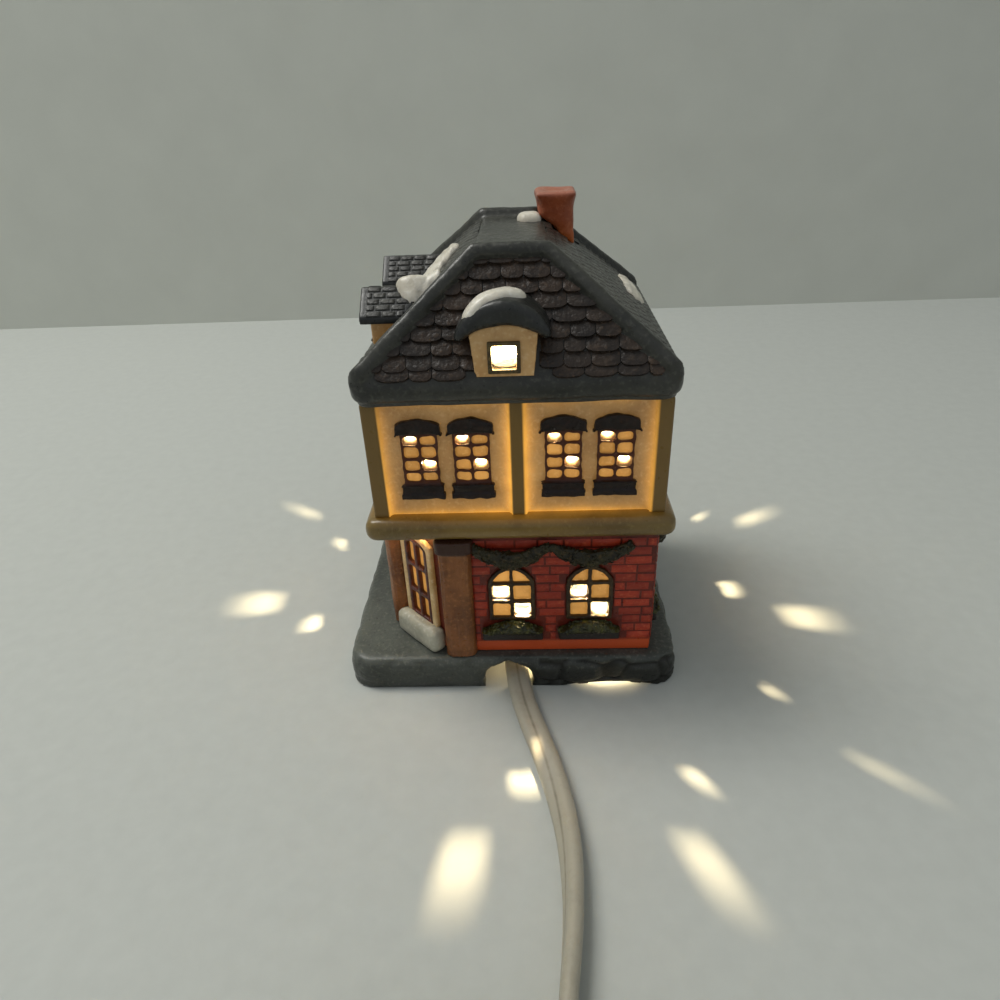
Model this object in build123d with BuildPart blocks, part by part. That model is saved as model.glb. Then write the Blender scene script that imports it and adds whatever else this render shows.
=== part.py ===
from build123d import *
import math
import os

# A small glazed ceramic village house with a hollow base, standing over a clip-in
# lamp on a two-wire cord. Millimetres, Z up, origin under the middle of the base,
# photographed face towards -Y.

# Base slab
base_width = 75.0
base_depth = 70.0
base_height = 8.0
base_corner = 6.0
base_round = 2.4
base_rim = 4.0
floor_thick = 2.4
notch_x = -0.8
notch_width = 10.4
notch_shoulder = 4.2
notch_height = 6.8
warp_gap = 0.7
warp_width = 20.0
warp_x = 22.0

# House plan and storeys
house_x = 2.6
house_y = -2.75
wall = 3.0
yard_width = 18.4
yard_depth = 12.5
lower_height = 31.0
chamfer_leg = 12.2
ledge_height = 5.0
ledge_out = 2.2
ledge_round = 2.1
jetty_width = 1.8
jetty_depth = 0.3
upper_height = 24.6
post_width = 3.3
panel_sunk = 1.0

# Windows
bar = 0.9
bar_proud = 0.5
reveal = 0.6
pane_margin = 0.15
arch_width = 10.0
arch_height = 14.2
arch_rise = 2.6
arch_rows = 3
arch_sill = 9.2
front_arch_spread = 16.7
front_arch_shift = 6.2
side_arch_pitch = 18.0
back_arch_spread = 26.0
left_arch_spread = 18.0
left_arch_shift = 8.0
sash_width = 7.6
sash_height = 11.0
sash_rows = 4
sash_sill = 7.4
sash_pair = 10.0
lintel_width = 8.8
lintel_height = 2.7
lintel_proud = 1.3
sill_height = 3.2
sill_proud = 1.6

# Window boxes and swags
box_width = 13.4
box_height = 3.4
box_deep = 2.0
box_level = 4.4
greens_radius = 1.7
greens_width = 12.4
swag_radius = 1.4
swag_drop = 5.0
swag_level = 28.4
swag_reach = 8.5
swag_clear = 0.05

# Corner door
door_width = 7.6
door_height = 21.5
door_rise = 1.6
door_rows = 3
surround_side = 1.5
surround_thick = 1.2
step_width = 13.0
step_deep = 3.3
step_height = 5.4
column_width = 7.0
column_deep = 2.2
column_round = 1.6
side_column_radius = 2.6
capital_height = 3.0
capital_out = 0.6

# Roof
eave_out = 3.2
eave_side_out = 1.2
eave_height = 4.5
eave_round = 1.2
eave_corner = 3.0
roof_rise = 20.5
hip_run_width = 47.8
hip_run_depth = 27.2
deck_shift_x = -0.2
deck_shift_y = -1.75
roof_wall = 2.6
hip_radius = 1.7
course_count = 14
course_step = 0.75
course_lap = 0.2
slate_rows = 9
slate_width = 4.8
slate_thick = 0.8
slate_corner = 1.2

# Front dormer
dormer_x = 0.8
dormer_foot = 10.2
dormer_head = 12.0
dormer_wall_height = 9.0
dormer_set_back = 0.65
dormer_hole = 4.4
dormer_frame = 0.7
dormer_frame_thick = 0.8
dormer_hole_level = 2.7
cap_half = 7.6
cap_crown = 3.6
cap_edge = 1.2
cap_out = 0.8
cap_sag = 1.6

# Side dormers
cheek_half = 4.4
cheek_height = 8.0
cheek_face = 2.6
cheek_hole = 3.0
gable_half = 5.9
gable_rise = 4.6
gable_thick = 1.5
gable_out = 1.8
cheek_places_shares = (-0.40, 0.53)

# Chimney
chimney_width = 7.6
chimney_depth = 8.0
chimney_x = 11.5
chimney_y = 9.5
chimney_height = 3.7
rim_height = 2.0
rim_out = 0.7
flue_width = 4.0
flue_deep = 2.5
chimney_sunk = 6.0

# Snow
snow_thick = 1.3
cap_snow_thick = 0.9
cap_snow_half = 6.4
cap_snow_back = 3.4
deck_snow_width = 6.0
deck_snow_depth = 5.0
deck_snow_x = 5.6
deck_snow_y = 6.0
valley_snow_run = 9.0
valley_snow_rise = 6.4
valley_snow_shifts = (7.0, 0.2)
valley_snow_share = 0.62
edge_snow_run = 17.0
edge_snow_rise = 5.6
edge_snow_y = 11.0
edge_snow_share = 0.14

# Lamp
lamp_x = 2.6
lamp_y = -0.5
lamp_hole_radius = 15.0
socket_radius = 9.5
socket_height = 23.0
socket_floor = 6.5
thread_gap = 0.3
thread_wall = 0.5
thread_height = 11.0
contact_radius = 2.6
contact_height = 1.3
boss_width = 8.2
boss_height = 5.6
boss_reach = 12.0
clip_thick = 0.5
clip_width = 6.0
clip_level = 13.0
clip_height = 4.0
clip_gap = 0.3
clip_foot_in = 2.4
clip_foot_drop = 3.0
bulb_seat = 0.3
bulb_contact_radius = 2.0
bulb_contact_height = 0.7
insulator_height = 1.4
insulator_radius = 4.2
cap_radius = 5.9
cap_height = 13.0
cap_wall = 0.45
thread_pitch = 2.54
thread_depth = 0.45
thread_turns = 4
neck_radius = 4.8
neck_lap = 1.6
globe_radius = 10.8
globe_level = 16.0
globe_length = 41.0
tip_radius = 2.6
tip_height = 1.3
glass_wall = 0.7
stem_radius = 1.7
stem_height = 23.0
lead_root = 0.9
lead_spread = 4.6
lead_height = 8.0
lead_radius = 0.25
filament_rise = 3.0

# Cord
cord_width = 5.2
cord_lift = 0.15
cord_clear = 0.55
cord_route = (
    (-0.9, -32.0),
    (9.6, -64.0),
    (11.2, -86.0),
)
lead_straight = 20.0
corner_share = 0.45
coil_x = -14.0
coil_y = -146.0
coil_radius = 32.0
coil_turn = 25.0
coil_offsets = (0, 1, 2, 3, 4, 3, 2, 1, 0, -1, 0, 1, 2, 3, 4, 3, 2, 1)
coil_climbs = (4, 9, 14)
tie_thick = 0.8
tie_width = 5.0
tie_clear = 0.3
tail_straight = 22.0
tail_route = ((28.0, -178.0, 10.0), (10.0, -196.0, 6.5))
plug_x = -15.0
plug_y = -196.0
plug_length = 24.0
plug_width = 20.0
plug_thick = 13.0
plug_nose = 15.0
plug_nose_share = 0.45
plug_round = 2.5
blade_length = 17.0
blade_width = 6.3
blade_thick = 1.5
blade_pitch = 12.7

# One overrun serves every cut
overrun = 1.0

# Levels and planes worked out from the sizes above
lower_width = base_width - yard_width
lower_depth = base_depth - yard_depth
upper_width = lower_width + jetty_width
upper_depth = lower_depth + jetty_depth
lower_top = base_height + lower_height
ledge_top = lower_top + ledge_height
upper_top = ledge_top + upper_height
eave_top = upper_top + eave_height
deck_level = eave_top + roof_rise
lower_front = house_y - lower_depth / 2
lower_left = house_x - lower_width / 2
eave_width = upper_width + 2 * eave_side_out
eave_depth = upper_depth + 2 * eave_out
deck_width = eave_width - hip_run_width
deck_depth = eave_depth - hip_run_depth
deck_x = house_x + deck_shift_x
deck_y = house_y + deck_shift_y
chamfer_middle = (lower_left + chamfer_leg / 2, lower_front + chamfer_leg / 2)
door_sill = base_height + step_height
cord_radius = cord_width / 2
cord_level = cord_radius + cord_lift
cord_pitch = cord_width + cord_clear
coil_level = cord_radius + tie_thick + tie_clear
lower_size = (lower_width, lower_depth)
upper_size = (upper_width, upper_depth)
panel_size = (upper_width - 2 * panel_sunk, upper_depth - 2 * panel_sunk)
sides = ("front", "right", "back", "left")

os.makedirs("parts", exist_ok=True)


def save(piece, label):
    piece.part.label = label
    export_step(piece.part, f"parts/{label}.step")


def wall_plane(side, size, along, level):
    """A wall's outer face, X to the right and Y up as seen from outside."""
    half_x = size[0] / 2
    half_y = size[1] / 2
    places = {
        "front": ((along, house_y - half_y, level), (1, 0, 0), (0, -1, 0)),
        "right": ((house_x + half_x, along, level), (0, 1, 0), (1, 0, 0)),
        "back": ((along, house_y + half_y, level), (-1, 0, 0), (0, 1, 0)),
        "left": ((house_x - half_x, along, level), (0, -1, 0), (-1, 0, 0)),
    }
    origin, right, out = places[side]
    return Plane(origin=origin, x_dir=right, z_dir=out)


def door_plane(level):
    """The slanting door wall's face, seen from outside."""
    return Plane(origin=(*chamfer_middle, level), x_dir=(1, -1, 0), z_dir=(-1, -1, 0))


def lower_outline(inset):
    """The brick storey's plan with its cut corner, inset from the wall's face."""
    half_x = lower_width / 2 - inset
    half_y = lower_depth / 2 - inset
    leg = chamfer_leg - inset * (2 - math.sqrt(2))
    with BuildSketch(Plane((house_x, house_y, base_height))) as plan:
        with BuildLine():
            Polyline(
                (-half_x + leg, -half_y),
                (half_x, -half_y),
                (half_x, half_y),
                (-half_x, half_y),
                (-half_x, -half_y + leg),
                close=True,
            )
        make_face()
    return plan.sketch


def opening(plane, width, height, rise, inset):
    """A window's outline with a low arch, its sill's middle on the plane's origin."""
    half = width / 2 - inset
    shoulder = height - rise
    with BuildSketch(plane) as outline:
        if rise > inset:
            with BuildLine():
                Polyline((-half, shoulder), (-half, inset), (half, inset), (half, shoulder))
                ThreePointArc((half, shoulder), (0, height - inset), (-half, shoulder))
            make_face()
        else:
            with Locations((0, height / 2)):
                Rectangle(2 * half, height - 2 * inset)
    return outline.sketch


def grille(plane, width, height, rise, rows):
    """The bars of a window that is two panes wide."""
    with BuildSketch(plane) as bars:
        add(opening(Plane.XY, width, height, rise, 0))
        add(opening(Plane.XY, width, height, rise, bar), mode=Mode.SUBTRACT)
        with Locations((0, height / 2)):
            Rectangle(bar, height - bar)
        for row in range(1, rows):
            with Locations((0, row * height / rows)):
                Rectangle(width - bar, bar)
    return bars.sketch


def pierced(plane, width, height, rows, panes):
    """The panes that are cut right through, as (column, row from the sill)."""
    pane_width = (width - 3 * bar) / 2 - 2 * pane_margin
    pane_height = height / rows - bar - 2 * pane_margin
    with BuildSketch(plane) as holes:
        for column, row in panes:
            across = (column - 0.5) * (width - bar) / 2
            with Locations((across, (row + 0.5) * height / rows)):
                Rectangle(pane_width, pane_height)
    return holes.sketch


def disc(plane, radius):
    with BuildSketch(plane) as round_face:
        Circle(radius)
    return round_face.sketch


# Where the windows stand along each wall
arch_places = {
    "front": (house_x + front_arch_shift - front_arch_spread / 2,
              house_x + front_arch_shift + front_arch_spread / 2),
    "right": (house_y - side_arch_pitch, house_y, house_y + side_arch_pitch),
    "back": (house_x - back_arch_spread / 2, house_x + back_arch_spread / 2),
    "left": (house_y + left_arch_shift - left_arch_spread / 2,
             house_y + left_arch_shift + left_arch_spread / 2),
}
arch_pierced = ((0, 1), (1, 0))
sash_pierced = ((0, 3), (1, 1))
wall_run = {"front": upper_width, "right": upper_depth, "back": upper_width, "left": upper_depth}
wall_middle = {"front": house_x, "right": house_y, "back": house_x, "left": house_y}
panel_width = {side: (wall_run[side] - 3 * post_width) / 2 for side in sides}
panel_places = {
    side: [wall_middle[side] + sign * (panel_width[side] + post_width) / 2 for sign in (-1, 1)]
    for side in sides
}
sash_places = {
    side: [middle + sign * sash_pair / 2 for middle in panel_places[side] for sign in (-1, 1)]
    for side in sides
}


# Base slab: hollow underneath, with the lamp hole, the cord notch and a warped rim
with BuildPart() as base_slab:
    with BuildSketch():
        RectangleRounded(base_width, base_depth, base_corner)
    extrude(amount=base_height)
    fillet(base_slab.faces().sort_by(Axis.Z)[-1].edges(), base_round)
    with BuildSketch():
        RectangleRounded(base_width - 2 * base_rim, base_depth - 2 * base_rim, base_corner - base_rim)
    extrude(amount=base_height - floor_thick, mode=Mode.SUBTRACT)
    extrude(disc(Plane((lamp_x, lamp_y, 0)), lamp_hole_radius), amount=base_height, mode=Mode.SUBTRACT)
    with BuildSketch(Plane((notch_x, -base_depth / 2, 0), x_dir=(1, 0, 0), z_dir=(0, 1, 0))):
        with BuildLine():
            Polyline(
                (-notch_width / 2, -notch_shoulder),
                (-notch_width / 2, overrun),
                (notch_width / 2, overrun),
                (notch_width / 2, -notch_shoulder),
            )
            Line((notch_width / 2, -notch_shoulder), (0, -notch_height))
            Line((0, -notch_height), (-notch_width / 2, -notch_shoulder))
        make_face()
    extrude(amount=base_rim + overrun, mode=Mode.SUBTRACT)
    with BuildSketch(Plane((warp_x, -base_depth / 2, 0), x_dir=(1, 0, 0), z_dir=(0, 1, 0))):
        with BuildLine():
            Line((-warp_width / 2, 0), (warp_width / 2, 0))
            ThreePointArc((warp_width / 2, 0), (0, -warp_gap), (-warp_width / 2, 0))
        make_face()
    extrude(amount=base_rim + overrun, mode=Mode.SUBTRACT)
save(base_slab, "base_slab")

# Brick storey: a cut corner for the door, window reveals and pierced panes
with BuildPart() as lower_walls:
    extrude(lower_outline(0), amount=lower_height)
    extrude(lower_outline(wall), amount=lower_height, mode=Mode.SUBTRACT)
    for side in sides:
        for along in arch_places[side]:
            face = wall_plane(side, lower_size, along, base_height + arch_sill)
            hole = opening(face, arch_width, arch_height, arch_rise, 0)
            extrude(hole, amount=-reveal, mode=Mode.SUBTRACT)
            holes = pierced(face, arch_width, arch_height, arch_rows, arch_pierced)
            extrude(holes, amount=-wall - overrun, mode=Mode.SUBTRACT)
save(lower_walls, "lower_walls")

# Arched windows and window boxes with their greens, wall by wall
arch_bars = {}
for side in sides:
    with BuildPart() as arch_windows:
        for along in arch_places[side]:
            face = wall_plane(side, lower_size, along, base_height + arch_sill).offset(-reveal)
            bars = grille(face, arch_width, arch_height, arch_rise, arch_rows)
            extrude(bars, amount=reveal + bar_proud)
    save(arch_windows, f"arch_windows_{side}")
    arch_bars[side] = arch_windows.part

    with BuildPart() as window_boxes:
        for along in arch_places[side]:
            face = wall_plane(side, lower_size, along, base_height + box_level)
            with BuildSketch(face):
                with Locations((0, box_height / 2)):
                    Rectangle(box_width, box_height)
            extrude(amount=box_deep)
            greens_end = face.from_local_coords((-greens_width / 2, box_height, box_deep / 2))
            greens_plane = Plane(origin=greens_end, z_dir=face.x_dir)
            extrude(disc(greens_plane, greens_radius), amount=greens_width)
        with BuildSketch(Plane((house_x, house_y, base_height))):
            Rectangle(lower_width, lower_depth)
        extrude(amount=lower_height, mode=Mode.SUBTRACT)
        add(arch_bars[side], mode=Mode.SUBTRACT)
    save(window_boxes, f"window_boxes_{side}")

# Corner door: columns with capitals, step, surround and glazed leaf
with BuildPart() as column_front:
    column_place = Plane((lower_left + chamfer_leg + column_width / 3, lower_front, base_height))
    with BuildSketch(column_place):
        RectangleRounded(column_width, 2 * column_deep, column_round)
    extrude(amount=lower_height)
    with BuildSketch(column_place.offset(lower_height - capital_height)):
        RectangleRounded(column_width + 2 * capital_out, 2 * (column_deep + capital_out), column_round)
    extrude(amount=capital_height)
    extrude(lower_outline(0), amount=lower_height, mode=Mode.SUBTRACT)
save(column_front, "column_front")

with BuildPart() as column_side:
    column_place = Plane((lower_left, lower_front + chamfer_leg, base_height))
    extrude(disc(column_place, side_column_radius), amount=lower_height)
    capital_plane = column_place.offset(lower_height - capital_height)
    extrude(disc(capital_plane, side_column_radius + capital_out), amount=capital_height)
    extrude(lower_outline(0), amount=lower_height, mode=Mode.SUBTRACT)
save(column_side, "column_side")

with BuildPart() as door_step:
    with BuildSketch(door_plane(base_height)):
        with Locations((0, step_height / 2)):
            Rectangle(step_width, step_height)
    extrude(amount=step_deep)
    add(column_front.part, mode=Mode.SUBTRACT)
    add(column_side.part, mode=Mode.SUBTRACT)
save(door_step, "door_step")

with BuildPart() as door_surround:
    surround_width = door_width + 2 * surround_side
    surround_height = door_height + surround_side
    slab = opening(door_plane(door_sill), surround_width, surround_height, door_rise, 0)
    extrude(slab, amount=surround_thick)
    leaf_hole = opening(door_plane(door_sill), door_width, door_height, door_rise, 0)
    extrude(leaf_hole, amount=surround_thick, mode=Mode.SUBTRACT)
    add(column_front.part, mode=Mode.SUBTRACT)
    add(column_side.part, mode=Mode.SUBTRACT)
save(door_surround, "door_surround")

with BuildPart() as door_leaf:
    bars = grille(door_plane(door_sill), door_width, door_height, door_rise, door_rows)
    extrude(bars, amount=surround_thick)
save(door_leaf, "door_leaf")

# Swags hung under the ledge over the windows
for side in ("front", "right", "back"):
    with BuildPart() as swags:
        for along in arch_places[side]:
            face = wall_plane(side, lower_size, along, base_height + swag_level)
            face = face.offset(swag_radius + swag_clear)
            with BuildLine(face):
                swag = ThreePointArc((-swag_reach, 0), (0, -swag_drop), (swag_reach, 0))
            with BuildSketch(Plane(origin=swag @ 0, z_dir=swag % 0)):
                Circle(swag_radius)
            sweep(path=swag)
        add(arch_bars[side], mode=Mode.SUBTRACT)
        add(column_front.part, mode=Mode.SUBTRACT)
    save(swags, f"swags_{side}")

# Belt ledge between the storeys, a rounded ring
with BuildPart() as belt_ledge:
    with BuildSketch(Plane((house_x, house_y, lower_top))):
        RectangleRounded(upper_width + 2 * ledge_out, upper_depth + 2 * ledge_out, ledge_out)
    extrude(amount=ledge_height)
    fillet(belt_ledge.faces().sort_by(Axis.Z)[-1].edges(), ledge_round)
    fillet(belt_ledge.faces().sort_by(Axis.Z)[0].edges(), ledge_round)
    with BuildSketch(Plane((house_x, house_y, lower_top))):
        Rectangle(lower_width - 2 * wall, lower_depth - 2 * wall)
    extrude(amount=ledge_height, mode=Mode.SUBTRACT)
save(belt_ledge, "belt_ledge")

# Upper storey: sunk panels between posts, with the pierced panes
with BuildPart() as upper_walls:
    with BuildSketch(Plane((house_x, house_y, ledge_top))):
        Rectangle(upper_width, upper_depth)
        Rectangle(lower_width - 2 * wall, lower_depth - 2 * wall, mode=Mode.SUBTRACT)
    extrude(amount=upper_height)
    for side in sides:
        for along in panel_places[side]:
            with BuildSketch(wall_plane(side, upper_size, along, ledge_top)):
                with Locations((0, upper_height / 2)):
                    Rectangle(panel_width[side], upper_height)
            extrude(amount=-panel_sunk, mode=Mode.SUBTRACT)
        for along in sash_places[side]:
            face = wall_plane(side, panel_size, along, ledge_top + sash_sill)
            holes = pierced(face, sash_width, sash_height, sash_rows, sash_pierced)
            extrude(holes, amount=-wall - overrun, mode=Mode.SUBTRACT)
save(upper_walls, "upper_walls")

# Upper windows: bars with a lintel and a sill each
for side in sides:
    with BuildPart() as sash_windows:
        for along in sash_places[side]:
            face = wall_plane(side, panel_size, along, ledge_top + sash_sill)
            extrude(grille(face, sash_width, sash_height, 0, sash_rows), amount=bar_proud + panel_sunk / 2)
            with BuildSketch(face):
                with Locations((0, sash_height + lintel_height / 2)):
                    Rectangle(lintel_width, lintel_height)
            extrude(amount=lintel_proud)
            with BuildSketch(face):
                with Locations((0, -sill_height / 2)):
                    Rectangle(lintel_width, sill_height)
            extrude(amount=sill_proud)
    save(sash_windows, f"sash_windows_{side}")


# Roof: a block with four slopes up to a flat deck, over rounded eaves
def roof_sections(grow):
    with BuildSketch(Plane((house_x, house_y, eave_top))) as foot:
        Rectangle(eave_width + 2 * grow, eave_depth + 2 * grow)
    with BuildSketch(Plane((deck_x, deck_y, deck_level))) as head:
        Rectangle(deck_width + 2 * grow, deck_depth + 2 * grow)
    return [foot.sketch.face(), head.sketch.face()]


def slope_plane(side):
    """A roof slope's face with its origin at the middle of the eave, Y up the slope."""
    eave_place = {"front": (0, -1), "right": (1, 0), "back": (0, 1), "left": (-1, 0)}[side]
    out_x, out_y = eave_place
    foot = Vector(house_x + out_x * eave_width / 2, house_y + out_y * eave_depth / 2, eave_top)
    head = Vector(
        deck_x + out_x * deck_width / 2 if out_x else house_x,
        deck_y + out_y * deck_depth / 2 if out_y else house_y,
        deck_level,
    )
    right = Vector(-out_y, out_x, 0)
    up = (head - foot).normalized()
    return Plane(origin=foot, x_dir=right, z_dir=right.cross(up)), (head - foot).length


def snow_oval(side, along, share, run, rise):
    """An oval of snow on a slope, placed by its share of the way up."""
    slope, length = slope_plane(side)
    with BuildSketch(slope) as oval:
        with Locations((along, share * length)):
            Ellipse(run / 2, rise / 2)
    return oval.sketch


front_eave = house_y - eave_depth / 2
left_eave = house_x - eave_width / 2
dormer_face = front_eave + dormer_set_back
dormer_view = Plane((dormer_x, dormer_face, eave_top), x_dir=(1, 0, 0), z_dir=(0, -1, 0))
cheek_places = [house_y + share * upper_depth / 2 for share in cheek_places_shares]
gable_slope = gable_rise / gable_half
dormer_reach = eave_depth / 2


def cheek_view(along, out):
    """The outer face of a side dormer, seen from the left."""
    place = (left_eave + cheek_face - out, along, eave_top)
    return Plane(place, x_dir=(0, -1, 0), z_dir=(-1, 0, 0))


def valley_snow(along, shift):
    """The snow that lies behind a side dormer's ridge; the left slope runs along -Y."""
    across = house_y - along - shift
    return snow_oval("left", across, valley_snow_share, valley_snow_run, valley_snow_rise)


def edge_snow():
    return snow_oval("right", edge_snow_y - house_y, edge_snow_share, edge_snow_run, edge_snow_rise)


with BuildPart() as roof_shell:
    with BuildSketch(Plane((house_x, house_y, upper_top))):
        RectangleRounded(eave_width, eave_depth, eave_corner)
    extrude(amount=eave_height)
    fillet(roof_shell.faces().sort_by(Axis.Z)[0].edges(), eave_round)
    loft(roof_sections(0), ruled=True)
    with BuildSketch(Plane((house_x, house_y, upper_top))):
        Rectangle(lower_width - 2 * wall, lower_depth - 2 * wall)
    extrude(amount=eave_height, mode=Mode.SUBTRACT)
    with BuildSketch(Plane((house_x, house_y, eave_top))):
        Rectangle(lower_width - 2 * wall, lower_depth - 2 * wall)
    with BuildSketch(Plane((deck_x, deck_y, deck_level - roof_wall))):
        Rectangle(deck_width - roof_wall, deck_depth - roof_wall)
    loft(ruled=True, mode=Mode.SUBTRACT)
    with BuildSketch(dormer_view):
        with Locations((0, dormer_hole_level + dormer_hole / 2)):
            Rectangle(dormer_hole, dormer_hole)
    extrude(amount=-dormer_reach, mode=Mode.SUBTRACT)
    for along in cheek_places:
        with BuildSketch(cheek_view(along, 0)):
            with Locations((0, cheek_height / 2)):
                Rectangle(cheek_hole, cheek_hole)
        extrude(amount=-eave_width / 2, mode=Mode.SUBTRACT)
save(roof_shell, "roof_shell")

# Chimney: a square shaft across the deck's right edge with a flared rim and a blind flue
with BuildPart() as chimney:
    chimney_plane = Plane((chimney_x, chimney_y, deck_level - chimney_sunk))
    with BuildSketch(chimney_plane):
        Rectangle(chimney_width, chimney_depth)
    extrude(amount=chimney_sunk + chimney_height)
    with BuildSketch(chimney_plane.offset(chimney_sunk + chimney_height)):
        Rectangle(chimney_width + 2 * rim_out, chimney_depth + 2 * rim_out)
    extrude(amount=rim_height)
    with BuildSketch(chimney_plane.offset(chimney_sunk + chimney_height + rim_height)):
        Rectangle(flue_width, flue_width)
    extrude(amount=-flue_deep, mode=Mode.SUBTRACT)
    loft(roof_sections(0), ruled=True, mode=Mode.SUBTRACT)
save(chimney, "chimney")

# Rolls along the hips and along the deck's two ends
with BuildPart() as hip_rolls:
    for sign_x in (-1, 1):
        for sign_y in (-1, 1):
            low = Vector(house_x + sign_x * eave_width / 2, house_y + sign_y * eave_depth / 2, eave_top)
            high = Vector(deck_x + sign_x * deck_width / 2, deck_y + sign_y * deck_depth / 2, deck_level)
            extrude(disc(Plane(low, z_dir=high - low), hip_radius), amount=(high - low).length)
            with Locations(low, high):
                Sphere(hip_radius)
    for sign_y in (-1, 1):
        start = Vector(deck_x - deck_width / 2, deck_y + sign_y * deck_depth / 2, deck_level)
        extrude(disc(Plane(start, z_dir=(1, 0, 0)), hip_radius), amount=deck_width)
    hip_room = hip_rolls.part
    with BuildSketch(Plane((house_x, house_y, upper_top))):
        RectangleRounded(eave_width, eave_depth, eave_corner)
    extrude(amount=eave_height + roof_rise + 2 * hip_radius, mode=Mode.INTERSECT)
    loft(roof_sections(0), ruled=True, mode=Mode.SUBTRACT)
    add(roof_shell.part, mode=Mode.SUBTRACT)
    add(chimney.part, mode=Mode.SUBTRACT)
save(hip_rolls, "hip_rolls")

# Front dormer: a tapered wall with a pierced window, its frame and its arched cap
cap_arc_radius = (dormer_head ** 2 / 4 + cap_sag ** 2) / (2 * cap_sag)
cap_top = dormer_wall_height + cap_sag
cap_end = cap_top - cap_arc_radius + math.sqrt(cap_arc_radius ** 2 - cap_half ** 2)


def dormer_outline():
    with BuildSketch(dormer_view) as outline:
        with BuildLine():
            Polyline(
                (-dormer_head / 2, dormer_wall_height),
                (-dormer_foot / 2, 0),
                (dormer_foot / 2, 0),
                (dormer_head / 2, dormer_wall_height),
            )
            ThreePointArc(
                (dormer_head / 2, dormer_wall_height),
                (0, cap_top),
                (-dormer_head / 2, dormer_wall_height),
            )
        make_face()
    return outline.sketch


with BuildPart() as front_dormer_wall:
    extrude(dormer_outline(), amount=-dormer_reach)
    with BuildSketch(dormer_view):
        with Locations((0, dormer_hole_level + dormer_hole / 2)):
            Rectangle(dormer_hole, dormer_hole)
    extrude(amount=-dormer_reach, mode=Mode.SUBTRACT)
    loft(roof_sections(0), ruled=True, mode=Mode.SUBTRACT)
save(front_dormer_wall, "front_dormer_wall")

with BuildPart() as front_dormer_frame:
    with BuildSketch(dormer_view):
        with Locations((0, dormer_hole_level + dormer_hole / 2)):
            Rectangle(dormer_hole + 2 * dormer_frame, dormer_hole + 2 * dormer_frame)
            Rectangle(dormer_hole, dormer_hole, mode=Mode.SUBTRACT)
    extrude(amount=dormer_frame_thick)
save(front_dormer_frame, "front_dormer_frame")

with BuildPart() as front_dormer_cap:
    with BuildSketch(dormer_view.offset(cap_out)):
        with BuildLine():
            ThreePointArc((cap_half, cap_end), (0, cap_top), (-cap_half, cap_end))
            Line((-cap_half, cap_end), (-cap_half, cap_end + cap_edge))
            ThreePointArc(
                (-cap_half, cap_end + cap_edge),
                (0, cap_top + cap_crown),
                (cap_half, cap_end + cap_edge),
            )
            Line((cap_half, cap_end + cap_edge), (cap_half, cap_end))
        make_face()
    extrude(amount=-dormer_reach)
    loft(roof_sections(0), ruled=True, mode=Mode.SUBTRACT)
save(front_dormer_cap, "front_dormer_cap")

# Snow on the front dormer's cap, running back to the slope
with BuildPart() as snow_dormer:
    with BuildSketch(dormer_view.offset(-cap_snow_back)):
        with BuildLine():
            Line((-cap_snow_half, cap_end + cap_edge), (cap_snow_half, cap_end + cap_edge))
            ThreePointArc(
                (cap_snow_half, cap_end + cap_edge),
                (0, cap_top + cap_crown + cap_snow_thick),
                (-cap_snow_half, cap_end + cap_edge),
            )
        make_face()
    extrude(amount=-dormer_reach)
    loft(roof_sections(0), ruled=True, mode=Mode.SUBTRACT)
    extrude(dormer_outline(), amount=-dormer_reach, mode=Mode.SUBTRACT)
    add(front_dormer_cap.part, mode=Mode.SUBTRACT)
save(snow_dormer, "snow_dormer")

# Side dormers on the left slope: a gabled wall with a window hole and a pitched roof
cheek_apex = cheek_height + gable_slope * cheek_half
gable_end = cheek_apex - gable_slope * gable_half


def cheek_outline(along):
    with BuildSketch(cheek_view(along, 0)) as outline:
        with BuildLine():
            Polyline(
                (-cheek_half, 0),
                (cheek_half, 0),
                (cheek_half, cheek_height),
                (0, cheek_apex),
                (-cheek_half, cheek_height),
                close=True,
            )
        make_face()
    return outline.sketch


side_dormers = []
for name, along in zip(("near", "far"), cheek_places):
    with BuildPart() as cheek_wall:
        extrude(cheek_outline(along), amount=-dormer_reach)
        with BuildSketch(cheek_view(along, 0)):
            with Locations((0, cheek_height / 2)):
                Rectangle(cheek_hole, cheek_hole)
        extrude(amount=-dormer_reach, mode=Mode.SUBTRACT)
        loft(roof_sections(0), ruled=True, mode=Mode.SUBTRACT)
    save(cheek_wall, f"side_dormer_{name}_wall")

    with BuildPart() as gable_roof:
        with BuildSketch(cheek_view(along, gable_out)):
            with BuildLine():
                Polyline(
                    (-gable_half, gable_end),
                    (0, cheek_apex),
                    (gable_half, gable_end),
                    (gable_half, gable_end + gable_thick),
                    (0, cheek_apex + gable_thick),
                    (-gable_half, gable_end + gable_thick),
                    close=True,
                )
            make_face()
        extrude(amount=-dormer_reach)
        loft(roof_sections(0), ruled=True, mode=Mode.SUBTRACT)
    save(gable_roof, f"side_dormer_{name}_roof")
    side_dormers.append(gable_roof.part)


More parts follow.
